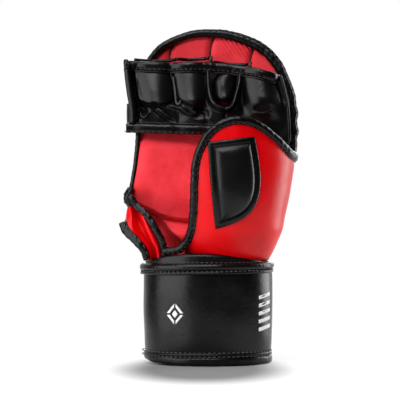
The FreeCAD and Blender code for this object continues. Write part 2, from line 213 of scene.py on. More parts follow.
def step_up(low, high, value):
    """0 below low, 1 above high, and smooth between."""
    t = np.clip((value - low) / (high - low), 0, 1)
    return t * t * (3 - 2 * t)


def bell(distance, width, power=2):
    """1 at no distance, falling to 0 well beyond the width."""
    return np.exp(-((distance / width) ** power))


def powered(value, power):
    """A value raised to a power, with its sign kept."""
    return np.sign(value) * np.abs(value) ** power


def ripples(x, z, size, seed=0.0):
    """Soft irregular waves about zero, with wrinkles about size millimetres apart."""
    k = TURN / size
    total = np.sin(k * (0.83 * x + 0.31 * z) + seed)
    total += 0.8 * np.sin(k * (-0.37 * x + 0.71 * z) + 2.1 * seed + 1.3)
    total += 0.6 * np.sin(k * (0.52 * x + 1.23 * z) + 0.7 * seed + 4.0)
    total += 0.5 * np.sin(k * (1.41 * x - 0.64 * z) + 1.9 * seed + 2.2)
    return total / 2.9


def line_frames(line, up):
    """Directions along, out of and across the surface, at each point of a line on it."""
    along = unit(np.gradient(line, axis=0))
    up = np.asarray(up, float)
    if up.ndim > 1:
        up = read_at(up, np.arange(len(up)), np.linspace(0, len(up) - 1, len(line)))
    up = np.broadcast_to(up, line.shape)
    out = unit(up - along * np.sum(up * along, axis=1, keepdims=True))
    return along, out, np.cross(along, out)


AROUND = 24  # points round a binding's section
SQUARE = 0.8  # below 1, this squares off a binding's section
GROOVE = math.radians(138)  # where a binding's row of stitches lies, measured round its section


def binding(name, line, up, width, depth, material, body=None, pucker=0.2, pitch=3.2, sewn=0, smooth=None):
    """A folded leather edge along a line, or a smooth one through points that are smooth millimetres apart.

    sewn is the side of its row of stitches, -1 or 1, or 0 for none.
    """
    line = resample(smooth_line(line, smooth) if smooth else line, 0.55)
    along, out, across = line_frames(line, up)
    lengths = lengths_along(line)
    angle = np.linspace(0, TURN, AROUND, endpoint=False)
    width = np.interp(lengths / lengths[-1], np.linspace(0, 1, np.size(width)), np.atleast_1d(width))[:, None]
    wide = powered(np.cos(angle), SQUARE) * width / 2
    high = powered(np.sin(angle), SQUARE) * depth / 2
    s, a = lengths[:, None], angle[None, :]
    turn = GROOVE if sewn < 0 else math.pi - GROOVE
    swell = 1 + 0.07 * pucker * np.sin(TURN * s / 17.3 + a) * np.sin(TURN * s / 7.1 + 2 * a + 1)
    if sewn:
        pull = 0.5 + 0.5 * np.cos(TURN * s / pitch + 0.9 * (a - turn))
        swell -= 0.17 * bell(a - turn, 0.2)
        swell -= pucker * 0.13 * pull * bell(a - turn, 0.5)
        face = across * math.cos(turn) + out * math.sin(turn)
        thread = line + 0.9 * (across * math.cos(turn) * width / 2 + out * math.sin(turn) * depth / 2)
        stitches(name + "_stitches", thread, face, THREAD, body, pitch=pitch, length=0.62 * pitch, radius=0.36)
    else:
        swell += pucker * 0.04 * np.sin(TURN * s / pitch + 1.5 * np.cos(a))
    points = line[:, None] + across[:, None] * (wide * swell)[..., None] + out[:, None] * (high * swell)[..., None]
    return piece(name, points, tube_faces(len(line), AROUND), material, body)


def stitches(name, line, up, material, body=None, pitch=3.4, length=2.3, radius=0.42):
    """A row of separate stitches along a line, joined into one piece."""
    line = resample(line, pitch)
    rings, sides = 5, 6
    turn = np.linspace(0, TURN, sides, endpoint=False)
    parts = []
    for centre, forward, out, across in zip(line, *line_frames(line, up)):
        points = []
        for bend in np.linspace(0, math.pi, rings):
            middle = centre - forward * math.cos(bend) * length / 2
            thick = radius * (0.35 + 0.65 * math.sin(bend))
            points += [middle + (math.cos(a) * across + math.sin(a) * out) * thick for a in turn]
        parts.append((points, tube_faces(rings, sides)))
    return piece(name, *joined(parts), material, body)


def trim(x, z, outline, inside=True):
    """Marks the grid points inside (or outside) a closed outline, and moves those by its edge onto it."""
    ring = np.vstack([outline, outline[:1]])
    marked = np.full(x.shape, not inside)
    for (x0, z0), (x1, z1) in zip(ring[:-1], ring[1:]):
        if z0 != z1:
            marked ^= ((z0 > z) != (z1 > z)) & (x < x0 + (z - z0) * (x1 - x0) / (z1 - z0))
    padded = np.pad(marked, 1, mode="edge")
    deep = marked.copy()
    for i in range(3):
        for j in range(3):
            deep &= padded[i : i + x.shape[0], j : j + x.shape[1]]
    beside = marked & ~deep
    fine = resample(ring, 0.12)
    away = np.hypot(x[beside][:, None] - fine[:, 0], z[beside][:, None] - fine[:, 1])
    x, z = x.copy(), z.copy()
    x[beside], z[beside] = fine[away.argmin(axis=1)].T
    return x, z, marked


def kept(marked):
    """Which quads of a grid have a corner that isn't marked."""
    return ~(marked[:-1, :-1] & marked[1:, :-1] & marked[:-1, 1:] & marked[1:, 1:])


def distance_to(x, z, line):
    """How far each grid point is from a line, and how far along it the nearest point is, from 0 to 1."""
    fine = resample(np.asarray(line, float), 0.3)
    near = np.empty(x.shape)
    share = np.empty(x.shape)
    for row in range(x.shape[0]):
        away = np.hypot(x[row][:, None] - fine[:, 0], z[row][:, None] - fine[:, 1])
        near[row] = away.min(axis=1)
        share[row] = away.argmin(axis=1) / (len(fine) - 1)
    return near, share


def crease(x, z, line, height, width):
    """A ridge, or with a negative height a furrow, along a smooth line, fading at its ends."""
    near, share = distance_to(x, z, smooth_line(line, 0.4))
    return height * bell(near, width) * np.sin(math.pi * (0.12 + 0.76 * share)) ** 0.6


# ---------------------------------------------------------------- materials


def feed(tree, target, inputs):
    """Sets a node's inputs, given by name or number, to values or to the outputs that feed them."""
    for socket, value in inputs.items():
        if isinstance(value, bpy.types.NodeSocket):
            tree.links.new(value, target.inputs[socket])
        else:
            target.inputs[socket].default_value = value


def node(tree, kind, inputs, output, **settings):
    """One output of a new shader node that has these inputs and settings."""
    made = tree.nodes.new("ShaderNode" + kind)
    for setting, value in settings.items():
        setattr(made, setting, value)
    feed(tree, made, inputs)
    return made.outputs[output]


def place(tree):
    """Where a point is on its own object, in metres."""
    return node(tree, "TexCoord", {}, "Object")


def noise(tree, scale, detail=3.0, roughness=0.55):
    """Object-space noise; scale is in waves per metre."""
    inputs = {"Vector": place(tree), "Scale": scale, "Detail": detail, "Roughness": roughness}
    return node(tree, "TexNoise", inputs, "Fac")


def maths(tree, operation, *terms):
    """The terms, put together by a Math node."""
    return node(tree, "Math", dict(enumerate(terms)), "Value", operation=operation)


def ramp(tree, value, low, high, dark, light):
    """A colour that runs from dark to light while the value runs from low to high."""
    made = node(tree, "ValToRGB", {"Fac": value}, "Color")
    elements = made.node.color_ramp.elements
    elements[0].position, elements[1].position = low, high
    elements[0].color, elements[1].color = (*dark, 1), (*light, 1)
    return made


def bump(tree, height, strength, distance, **below):
    """A bumped normal; Normal is the one that it is added to, if any."""
    return node(tree, "Bump", {"Height": height, "Strength": strength, "Distance": distance * MM, **below}, "Normal")


def new_material(name, **inputs):
    """A material with one Principled shader, whose inputs are set by name, with _ for a space."""
    made = bpy.data.materials.new(name)
    made.use_nodes = True
    shader = made.node_tree.nodes["Principled BSDF"]
    feed(made.node_tree, shader, {socket.replace("_", " "): value for socket, value in inputs.items()})
    return made, made.node_tree, shader


PEBBLE = 0.9  # size of the leather's grain


def leather(name, dark, light, rough_low, rough_high, gloss, grain, grain_depth=0.12):
    """Coated leather: pebbled grain, soft creases, and gloss that varies where it is rubbed."""
    made, tree, shader = new_material(name, Specular_IOR_Level=gloss)
    rub = {"Value": noise(tree, 130.0, 5.0), "To Min": rough_low, "To Max": rough_high}
    pebbles = node(tree, "TexVoronoi", {"Vector": place(tree), "Scale": 1 / (PEBBLE * MM)}, "Distance")
    creases = bump(tree, noise(tree, 170.0, 4.0, 0.6), 0.5, 0.35)
    feed(tree, shader, {
        "Base Color": ramp(tree, noise(tree, 45.0), 0.3, 0.7, dark, light),
        "Roughness": node(tree, "MapRange", rub, "Result"),
        "Normal": bump(tree, pebbles, grain, grain_depth, Normal=creases),
    })
    return made


def weave(name, dark, light, pitch=0.9, slant=0.35, sheen=0.3):
    """Woven cloth: two sets of crossing threads, with slight unevenness."""
    made, tree, shader = new_material(name, Roughness=0.75, Sheen_Weight=sheen, Sheen_Roughness=0.4)
    threads = []
    for turn in (slant, slant + math.pi / 2):
        turned = node(tree, "Mapping", {"Vector": place(tree), "Rotation": (0, turn, 0)}, "Vector")
        inputs = {"Vector": turned, "Scale": math.pi / 10 / (pitch * MM), "Distortion": 0.6, "Detail": 1.0}
        threads.append(node(tree, "TexWave", inputs, "Fac", bands_direction="X"))
    height = maths(tree, "MULTIPLY", maths(tree, "ADD", *threads), 0.5)
    uneven = maths(tree, "MULTIPLY_ADD", height, 0.45, noise(tree, 60.0, 4.0))
    feed(tree, shader, {
        "Base Color": ramp(tree, uneven, 0.45, 0.95, dark, light),
        "Normal": bump(tree, height, 0.6, 0.18),
    })
    return made


def speckled(name, dark, light, grain, contrast, relief, **inputs):
    """A surface whose colour and height follow one fine noise, such as a fuzzy pile or worn ink."""
    made, tree, shader = new_material(name, **inputs)
    fine = noise(tree, *grain)
    feed(tree, shader, {
        "Base Color": ramp(tree, fine, *contrast, [dark] * 3, [light] * 3),
        "Normal": bump(tree, fine, *relief),
    })
    return made


RED = leather("red_leather", (0.62, 0.0, 0.0015), (0.8, 0.0005, 0.005), 0.26, 0.4, 0.21, 0.1, grain_depth=0.04)
BLACK = leather("black_leather", (0.0015, 0.0015, 0.0017), (0.004, 0.004, 0.0044), 0.25, 0.38, 0.28, 0.3)
EDGE = leather("edge_leather", (0.0012, 0.0012, 0.0014), (0.004, 0.004, 0.0044), 0.2, 0.36, 0.26, 0.4)
LINING = weave("red_lining", (0.70, 0.004, 0.012), (0.92, 0.034, 0.055), sheen=0.06)
BLACK_LINING = weave("black_lining", (0.006, 0.006, 0.007), (0.02, 0.02, 0.022))
# the red lining darkened almost to black: painted shade for the inside of the finger loops
SHADED_LINING = weave("lining_painted_shade", (0.006, 0.0006, 0.001), (0.028, 0.002, 0.004))
THREAD = weave("thread", (0.02, 0.02, 0.022), (0.07, 0.07, 0.075), pitch=0.45, slant=0.6, sheen=0.1)
SEAM = weave("seam_thread", (0.004, 0.001, 0.001), (0.02, 0.003, 0.003), pitch=0.45, slant=0.6, sheen=0.0)
PILE = speckled(
    "fastener_pile", 0.003, 0.02, (1400.0, 4.0, 0.7), (0.35, 0.65), (1.0, 0.6), Roughness=0.95, Sheen_Weight=0.5
)
CUFF_BLACK = leather("cuff_leather", (0.0012, 0.0012, 0.0014), (0.0035, 0.0035, 0.0039), 0.22, 0.33, 0.27, 0.3)
INK = speckled("white_print", 0.55, 0.82, (500.0, 5.0), (0.3, 0.5), (0.2, 0.05), Roughness=0.45)

# ---------------------------------------------------------------- wrist cuff

shell_low, shell_high = box_mm("strap_shell")
CUFF_WIDE, CUFF_DEEP = (shell_high - shell_low)[:2] / 2
STRAP_TOP = box_mm("strap_top_binding")[1][2] - 2.0  # the photographed hem is a little lower
HEM = shell_low[2]
CUFF_TOP = box_mm("inner_turn_rim")[1][2]
CUFF_STEPS = 288


def cuff_point(angle, out, z):
    """A point out from the strap's outer face; the angle is counted from +X, towards the back."""
    cos, sin = np.cos(angle), np.sin(angle)
    normal = unit(stacked(cos / CUFF_WIDE, sin / CUFF_DEEP))
    return stacked(CUFF_WIDE * cos + out * normal[..., 0], CUFF_DEEP * sin + out * normal[..., 1], z)


def cuff_loop(name, section, material, change=None):
    """A closed section (out, z) carried round the cuff; change moves its points."""
    section = resample(np.array(section + section[:1], float), 0.7)[:-1]
    angle = np.linspace(0, TURN, CUFF_STEPS, endpoint=False)[:, None]
    out = np.broadcast_to(section[None, :, 0], (CUFF_STEPS, len(section)))
    z = np.broadcast_to(section[None, :, 1], out.shape)
    if change:
        out, z = change(angle, out, z)
    points = cuff_point(np.broadcast_to(angle, out.shape), out, z)
    faces = grid_faces(CUFF_STEPS, len(section), wrap_rows=True, wrap_columns=True)
    return piece(name, points, faces, material, "cuff")


def rounded_section(inner, outer, low, high, radius):
    """An upright oblong section with its corners rounded."""
    corners = [(outer, low, -90), (outer, high, 0), (inner, high, 90), (inner, low, 180)]
    points = []
    for out, z, start in corners:
        centre_out = out - radius if out == outer else out + radius
        centre_z = z + radius if z == low else z - radius
        for turn in range(0, 91, 15):
            angle = math.radians(start + turn)
            points.append((centre_out + radius * math.cos(angle), centre_z + radius * math.sin(angle)))
    return points


def cuff_ring(name, inner, outer, low, high, radius, material, change):
    """A ring round the cuff with a rounded oblong section."""
    return cuff_loop(name, rounded_section(inner, outer, low, high, radius), material, change)


STRAP_SHIFT = 0.8  # how far the strap has slipped towards the thumb side


def slip(angle, shift=STRAP_SHIFT):
    """How far out a slipped ring stands at an angle."""
    return shift * (np.cos(angle) - 0.35)


def worn(depth, size, seed, shift=0.0, lift=0.0):
    """Moves a section's points by soft waves, lets it slip, and lifts its low left side."""

    def change(angle, out, z):
        arc = angle * (CUFF_WIDE + CUFF_DEEP) / 2
        left = step_up(0.4, 0.8, -np.cos(angle)) + 1.4 * step_up(0.85, 1.0, -np.cos(angle))
        return out + depth * ripples(arc, z, size, seed) + slip(angle, shift), z + lift * left

    return change


HEM_TILT = 0.7  # how much higher the upper hem is at the thumb side than at the middle


def hem_change(angle, out, z):
    """Lets the upper hem's fullness vary a little, and its height rise towards the thumb side."""
    arc = angle * (CUFF_WIDE + CUFF_DEEP) / 2
    soft = 0.05 * np.sin(TURN * arc / 3.5 + 0.3 * z) + 0.22 * ripples(arc, z, 31.0, 1.0)
    return out + soft, z + HEM_TILT * np.cos(angle)


BODY_LOW, BODY_HIGH = HEM + 2.6, STRAP_TOP - 7.9


def strap_body_section():
    """The strap's padded body: a soft barrel that is pulled in at both hems."""
    face = []
    for share in np.linspace(0, 1, 40):
        z = BODY_LOW - 2.0 + share * (BODY_HIGH - BODY_LOW + 4.0)
        pulled = 1.5 * (1 - math.sin(math.pi * share) ** 0.35)
        face.append((0.1 - pulled + 0.7 * (share - 0.5), z))
    return face + [(-4.6, BODY_HIGH + 2.0), (-4.6, BODY_LOW - 2.0)]


strap = cuff_loop("strap_body", strap_body_section(), CUFF_BLACK, worn(0.35, 34.0, 2.0, STRAP_SHIFT))
top_hem = cuff_ring("strap_top_hem", -4.8, 1.7, STRAP_TOP - 5.6, STRAP_TOP, 2.5, EDGE, hem_change)
cuff_ring("strap_top_welt", -3.0, 1.3, STRAP_TOP - 8.0, STRAP_TOP - 5.9, 0.95, EDGE, hem_change)
low_change = worn(0.22, 21.0, 3.0, STRAP_SHIFT, lift=1.2)
bottom_hem = cuff_ring("strap_bottom_hem", -4.8, -0.2, 0.0, HEM - 0.4, 2.2, EDGE, low_change)
cuff_ring("strap_bottom_welt", -3.0, -0.1, HEM - 0.2, HEM + 2.0, 0.9, EDGE, worn(0.2, 21.0, 3.0, STRAP_SHIFT))
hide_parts("strap_shell", "strap_foam")
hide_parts("strap_top_binding")
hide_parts("strap_bottom_binding")


def cuff_stitches(name, out, z, pitch, lift=0.0):
    """A row of stitches all round the cuff, out from the strap's face."""
    angle = np.linspace(0, TURN, CUFF_STEPS)
    up = cuff_point(angle, out + 1.0, z) - cuff_point(angle, out, z)
    stitches(name, cuff_point(angle, out, z + lift * np.cos(angle)), up, THREAD, "cuff", pitch=pitch)


cuff_stitches("strap_top_stitches", 0.9, STRAP_TOP - 5.8, 3.5, HEM_TILT)
cuff_stitches("strap_bottom_stitches", -0.2, HEM + 2.5, 3.5)
cuff_stitches("strap_hem_stitches", -0.2, HEM - 0.35, 3.5)


def turn_rim(angle, out, z):
    """The inner turn's rim is not level: it is highest at the front and back, and dips at the sides."""
    lift = 2.4 * np.cos(2 * (angle - math.radians(262))) - 3.6
    share = step_up(STRAP_TOP - 4, CUFF_TOP, z)
    return out + 0.06 * np.sin(angle * 131) * share, z + lift * share


inner_turn = cuff_ring("inner_turn", -9.0, -5.2, 5.0, STRAP_TOP - 3.0, 1.2, BLACK, worn(0.1, 19.0, 4.0))
inner_rim = cuff_ring("inner_turn_hem", -7.8, -2.6, STRAP_TOP - 4.0, CUFF_TOP + 1.0, 2.2, EDGE, turn_rim)
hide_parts("strap_inner_turn")
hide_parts("inner_turn_rim")
cuff_stitches("inner_turn_stitches", -2.5, STRAP_TOP + 0.5, 3.4)


def sleeve_change(angle, out, z):
    """The sleeve's rim drops at the front, where the padding presses when the wrist bends."""
    front = step_up(0.1, 0.75, -np.sin(angle))
    return out + 0.2 * np.sin(5 * angle), z - 9.0 * front * step_up(CUFF_TOP - 30, CUFF_TOP - 2, z)


sleeve = cuff_ring("wrist_lining", -11.0, -9.0, 3.5, CUFF_TOP - 2.0, 0.9, BLACK_LINING, sleeve_change)
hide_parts("wrist_sleeve")

# ---------------------------------------------------------------- strap end, on the back

def back_angle(x):
    """The angle at which the cuff's back has a given x."""
    return np.arccos(np.clip(x / CUFF_WIDE, -1, 1))


def back_sheet(name, cad_node, inside, outside, round_end, material, body, crown=0.0, more_left=0.0, more_right=0.0):
    """A strap lying on the back of the cuff over a CAD node's box, with its left end rounded."""
    (low_x, _, low_z), (high_x, _, high_z) = box_mm(cad_node)
    low_x, high_x = low_x - more_left, high_x + more_right
    x = np.linspace(high_x, low_x, 90)[:, None]
    across = np.linspace(-1, 1, 50)[None, :]
    from_end = (x - low_x) / round_end
    narrow = np.where(from_end < 1, 1 - 0.28 * (1 - np.clip(from_end, 0, 1)) ** 2.2, 1.0)
    z = (low_z + high_z) / 2 + (high_z - low_z) / 2 * narrow * across
    edge = 1 - np.maximum(np.abs(across) ** 10, np.clip(1 - from_end * 6, 0, 1) ** 2)
    wave = crown * ripples(x, z, 26.0, 6.0)
    outer = cuff_point(back_angle(x), outside - (1 - edge) * 0.6 + wave, z)
    return solid_sheet(name, outer, cuff_point(back_angle(x), inside, z), material, body)


tab = back_sheet("strap_end_tab", "strap_tab", 2.9, 5.2, 16.0, BLACK, "strap_end", crown=0.3, more_right=-0.5)
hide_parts("strap_tab")
hook = back_sheet("tab_hook", "tab_hook_patch", 1.7, 2.8, 10.0, PILE, "strap_end")
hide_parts("tab_hook_patch")
loops = back_sheet("strap_loop", "tab_hook_patch", -0.2, 1.3, 10.0, PILE, "cuff", more_left=2)
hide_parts("strap_loop_patch")
root = back_sheet("strap_end_root", "strap_tab_root", -0.3, 5.0, 3.0, BLACK, "cuff", more_right=3)
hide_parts("strap_tab_root")


def tab_stitches(inset):
    """A row of stitches along the tab's rounded outline, inset, on its outer face."""
    (low_x, _, low_z), (high_x, _, high_z) = box_mm("strap_tab")
    turn = np.linspace(math.pi / 2, 3 * math.pi / 2, 40)
    x = np.concatenate([[high_x - 2.0], low_x + 16 + (16 - inset) * np.cos(turn), [high_x - 2.0]])
    half = (high_z - low_z) / 2 - inset
    z = (low_z + high_z) / 2 + half * np.concatenate([[1], powered(np.sin(turn), 0.45), [-1]])
    x, z = resample(stacked(x, z), 1.0).T
    line = cuff_point(back_angle(x), 5.3, z)
    stitches("tab_stitches", line, cuff_point(back_angle(x), 6.3, z) - line, THREAD, "strap_end", pitch=3.4)


tab_stitches(3.2)

# ---------------------------------------------------------------- printed marks


def cuff_print(name, outlines, centre_x, centre_z):
    """Flat shapes printed on the palm side of the strap; each outline is (arc, z) about the centre."""
    parts = []
    middle = -math.acos(centre_x / CUFF_WIDE)
    fine = np.linspace(middle - 0.8, middle + 0.8, 400)
    arc = lengths_along(cuff_point(fine, 0.0, 0.0))
    arc -= np.interp(middle, fine, arc)
    for corners in outlines:
        ring = resample(np.array(corners + corners[:1], float), 0.8)[:-1]
        points = []
        for out, shrink in ((-0.3, 1.0), (0.42, 1.0), (0.5, 0.93)):
            x, z = (ring.mean(axis=0) + (ring - ring.mean(axis=0)) * shrink).T
            angle = np.interp(x, arc, fine)
            points += list(cuff_point(angle, out + slip(angle), centre_z + z))
        parts.append((points, tube_faces(3, len(ring))))
    piece(name, *joined(parts), INK, "cuff")


def bar(x, z, length, thickness, slant):
    """A short slanted bar's outline."""
    corners = ((-1, -1), (1, -1), (1, 1), (-1, 1))
    return [(x + a * length / 2, z + b * thickness / 2 + a * slant) for a, b in corners]


diamond = [
    [(0.6 * side, 7.3 * up), (6.5 * side, 0.6 * up), (4.2 * side, 0.6 * up), (0.6 * side, 4.8 * up)]
    for side in (-1, 1)
    for up in (-1, 1)
]
cuff_print("small_print", diamond + [[(0, 2.7), (-2.3, 0), (0, -2.7), (2.3, 0)]], -23.0, 37.0)
cuff_print("tall_print", [bar(0, 11.4 - 5.7 * k, 13.0, 2.6, 1.2) for k in range(5)], 41.0, 38.0)

# ---------------------------------------------------------------- hand

RIGHT_EDGE = profile(
    (74, 79, 87, 96.5, 105, 119.5, 134, 141, 147, 158, 166),
    (43.2, 46.2, 50.2, 54.0, 55.5, 58.7, 60.9, 62.0, 62.3, 61.5, 59),
)
LEFT_EDGE = profile(
    (74, 79, 84, 92, 98, 106, 116, 126, 138, 150, 160, 170),
    (-40, -41, -44, -50, -54, -56, -56, -54.5, -52.2, -50.5, -49.4, -49.4),
)
BACK_EDGE = profile((74, 80, 90, 105, 125, 140, 152, 164), (29.5, 31, 34, 37, 38, 37.2, 36, 36))
HAND_Y = -8.0


def hand_point(angle, z, inset=0.0):
    """The hand's outer face: the angle runs from the little-finger edge, round the back, to the thumb side."""
    middle = (RIGHT_EDGE(z) + LEFT_EDGE(z)) / 2
    half = (RIGHT_EDGE(z) - LEFT_EDGE(z)) / 2 - 0.5 * inset
    deep = BACK_EDGE(z) - HAND_Y - inset
    return stacked(middle - half * np.cos(angle), HAND_Y + deep * powered(np.sin(angle), 0.9), z)


SEAMS = (math.radians(62), math.radians(118))  # two sewn channels down the back of the hand
PAD_FROM, PAD_TO = math.radians(3), math.radians(171)
PAD_BOTTOM, PAD_TOP = 86.0, 155.2

angle = np.linspace(PAD_FROM, PAD_TO, 150)[:, None]
z = np.linspace(PAD_BOTTOM, PAD_TOP, 90)[None, :]
outer = hand_point(angle, z)
push = 0.35 * ripples(angle * 50, z, 27.0, 7.0)
for seam in SEAMS:
    push -= 2.2 * bell(angle - seam, 0.035)
full = step_up(PAD_FROM, math.radians(34), angle) * step_up(PAD_TO, math.radians(150), angle)
push -= full * (2.5 * step_up(149, PAD_TOP, z) ** 2 + 3.0 * step_up(91, PAD_BOTTOM, z) ** 2)
outer = outer + grid_normals(outer, 1) * push[..., None]
back_pad = solid_sheet("hand_back_pad", outer, hand_point(angle, z, inset=1.5 + 10.5 * full), RED, "hand")
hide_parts("hand_back_shell", "hand_back_foam")

for number, seam in enumerate(SEAMS):
    line = hand_point(seam, np.linspace(91, 149, 60))
    up = line - hand_point(seam, line[:, 2], inset=5.0)
    stitches(f"hand_seam_{number + 1}", line + np.array([0, -1.0, 0]), up, SEAM, "hand", pitch=3.4)

# The neck: leather that closes the gap between the cuff and the hand, lower beside the heel.
NECK_LOW, NECK_HIGH = CUFF_TOP - 9.0, CUFF_TOP + 13.0
angle = np.linspace(math.radians(-10), math.radians(186), 150)[:, None]
neck_top = NECK_HIGH - 9.0 * step_up(math.radians(6), math.radians(-2), angle)
z = NECK_LOW + (neck_top - NECK_LOW) * np.linspace(0, 1, 26)[None, :]
share = step_up(CUFF_TOP - 4, NECK_HIGH, z)[..., None]
outer = cuff_point(math.pi - angle, -8.4, z) * (1 - share) + hand_point(angle, z, inset=4.0) * share
neck = solid_sheet("wrist_neck_leather", outer, outer * np.array([0.965, 0.94, 1.0]), RED)
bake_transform(neck)
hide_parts("wrist_neck")

# The palm's lining: a soft red panel that bulges over a fold across its lower end.
FOLD = profile((-62, -50, -42, -34, -25, -14, -4, 60), (119, 115.4, 111.2, 107.0, 104.6, 103.2, 102.8, 102.8))
CORD_LINE = [
    (-56.4, -13.0, 120.5), (-53.8, -15.5, 117.9), (-50.2, -17.5, 113.9), (-45.8, -19.8, 109.8),
    (-42.3, -21.2, 106.2), (-39.6, -22.2, 102.0), (-36.9, -22.8, 97.5), (-34.3, -22.6, 93), (-32.3, -21.4, 88.6),
    (-31.1, -19.6, 84.4), (-30.5, -17.6, 80), (-30.3, -16.4, 75),
]
CORD_X = profile([z for _, _, z in CORD_LINE[:0:-1]], [x for x, _, _ in CORD_LINE[:0:-1]])


def palm_depth(x, z):
    """How far back the palm lining lies."""
    from_edge = np.maximum(x - LEFT_EDGE(z) - 2.0, 0)
    y = -6.0 - 3.0 * (1 - np.exp(-from_edge / 3.0)) + 0.16 * from_edge
    above = z - FOLD(x)
    # the bulge over the fold, the fold's furrow, and a second bulge under it
    y -= 3.2 * step_up(-0.5, 1.6, above) + 4.4 * step_up(0.0, 17.0, above) * bell(np.maximum(above - 16, 0), 30)
    y += 3.4 * bell(above + 1.2, 1.3)
    y -= 4.5 * bell(above + 11.0, 6.0) * bell(x + 20, 11)
    # back behind the finger loops, and into a valley beside the cording
    y += 7.0 * step_up(154, 168, z)
    from_cord = np.maximum(x - CORD_X(z) - 3.5, 0) / (4.5 + 6.0 * step_up(98, 82, z))
    y += 10.0 * np.exp(-(from_cord**4)) * step_up(114, 102, z)
    return y + 0.3 * ripples(x, z, 34.0, 3.0) + 0.1 * ripples(x, z, 9.0, 5.0)


z = np.linspace(78, 170, 190)[None, :]
left = LEFT_EDGE(z) + 1.4
x = left + (38 - left) * np.linspace(0, 1, 170)[:, None] ** 1.35
palm = solid_sheet("palm_lining", stacked(x, palm_depth(x, z), z), (0.5, 1.2, 0.0), LINING)
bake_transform(palm)
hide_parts("hand_back_lining")


def between(first, last, count):
    """A grid of points from one line to another of the same length."""
    t = np.linspace(0, 1, count)[None, :, None]
    return first[:, None] * (1 - t) + last[:, None] * t


# Leather round the little-finger edge, from the back pad to the palm.
side_x = profile(
    (78, 84, 90, 94, 100, 105, 110, 116, 122, 129, 136, 143, 154, 166),
    (-42.6, -45.4, -51.4, -55.2, -58.4, -58.4, -57.6, -56.2, -55.0, -53.6, -52.3, -51.3, -50.2, -49.4),
)
side_y = profile(
    (78, 84, 90, 94, 100, 105, 110, 116, 122, 136, 154, 166),
    (-9, -9, -8, -7, -6.6, -7.4, -8.4, -9.6, -10.4, -10, -8.6, -7.4),
)
z = np.linspace(79.0, 166.0, 110)
grid = between(stacked(side_x(z), side_y(z), z), hand_point(math.radians(6), z, inset=0.8), 12)
grid[..., 0] -= 0.8 * np.sin(math.pi * np.linspace(0, 1, 12))
side_strip = solid_sheet("hand_side_leather", grid, (1.4, 0.4, 0), RED)
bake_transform(side_strip)

# Piping down the little-finger edge, the corded edge across the heel of the palm, and a knot between them.
PIPING_LINE = [
    (-49.4, -7, 170), (-49.6, -8, 164), (-50.3, -9, 154), (-51.4, -10, 143.3), (-52.5, -10.5, 136),
    (-53.8, -11, 128.8), (-55.2, -11.5, 122.5),
]
piping = binding("edge_piping", PIPING_LINE, (-0.5, -0.85, 0), 3.4, 3.8, EDGE, pucker=0.7, pitch=4.6, smooth=1.0)
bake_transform(piping)
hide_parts("ulnar_piping")
cord_line = smooth_line(CORD_LINE, 0.8)
cord = binding("heel_cording", cord_line, (0.25, -1, 0), 5.0, 5.0, EDGE, "hand", pucker=1.5, pitch=3.6, sewn=1)
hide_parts("heel_cord")
KNOT_LINE = [(-54.6, -11, 125.4), (-56.4, -14, 122.6), (-56.8, -15.4, 119.4), (-56, -14.4, 116.2), (-54.4, -12, 114.4)]
WRAP_LINE = [(-57.2, -13.0, 120.2), (-55.8, -16.6, 120.8), (-53.6, -18.4, 119.4), (-51.8, -17.6, 116.0)]
for name, line, up, wide, deep in (
    ("edge_knot", KNOT_LINE, (-0.6, -0.8, 0.1), 6.0, 5.2),
    ("edge_knot_wrap", WRAP_LINE, (-0.2, -1, 0.1), 4.2, 4.0),
):
    binding(name, line, up, wide, deep, EDGE, "hand", pucker=1.5, pitch=2.6, smooth=0.6)

heel_low_line = smooth_line(
    [(-60.2, -9.8, 101.6), (-59.0, -11.8, 97.4), (-56.4, -14.2, 94.2), (-52.6, -16.6, 90.6), (-49.2, -18.4, 87.2),
     (-46.2, -19.0, 83.6), (-44.3, -18.4, 80.0), (-43.0, -17.0, 75.5)], 0.8
)
heel_low = binding(
    "heel_low_binding", heel_low_line, (-0.3, -1, 0), [6.8, 6.4, 6.2, 5.6, 5.2], 4.6, EDGE, "hand",
    pucker=0.8, pitch=4.8, sewn=-1,
)
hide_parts("heel_binding")


def heel_surface():
    """The glossy panel between the cording and the low binding, with one crisp fold running down it."""
    start = [(-56.6, -10.0, 116.0), (-58.2, -9.4, 110.5), (-59.0, -9.2, 105.0)]
    rim = smooth_line(start + [tuple(p) for p in heel_low_line[4:-4:6]] + [(-43.0, -17.0, 74.5)], 0.8)
    count, across = 130, 80
    grid = between(spread(rim, count), spread(cord_line[3:], count), across)
    down = np.linspace(0, 1, count)[:, None]
    t = np.linspace(0, 1, across)[None, :]
    # the valley's near wall and its bottom, as shares of the way from the binding to the cording
    wall = np.interp(down, [0.1, 0.3, 0.5], [0.45, 0.35, 0.14])
    bottom = np.interp(down, [0.1, 0.3, 0.5, 0.7, 0.85], [0.80, 0.62, 0.53, 0.43, 0.45])
    grow = step_up(0.12, 0.35, down)
    y = grid[..., 1]
    y += 9.0 * step_up(wall, bottom, t) * step_up(0.02, 0.2, down)
    y -= 11.5 * step_up(bottom + 0.02, bottom + 0.19, t) * grow  # the fold
    y += 7.5 * step_up(np.minimum(bottom + 0.24, 0.86), 0.98, t) * step_up(0.05, 0.3, down)  # down to the cording
    y -= 2.6 * np.sin(math.pi * t**0.7) * (1 - grow)  # a bulge above the valley's start
    y += 7.0 * (1 - step_up(0.0, 0.12, t)) ** 2 * (1 - step_up(0.3, 0.4, down))  # tucked behind the side leather
    return grid


heel_piece = solid_sheet("heel_leather", heel_surface(), (0.6, 1.6, 0.0), RED, "hand")
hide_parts("heel_panel")

# ---------------------------------------------------------------- thumb cover

THUMB_X, THUMB_Y, THUMB_Z = 12.0, -4.0, 150.0
THUMB_WIDE, THUMB_DEEP, THUMB_TALL = 50.0, 46.0, 85.0


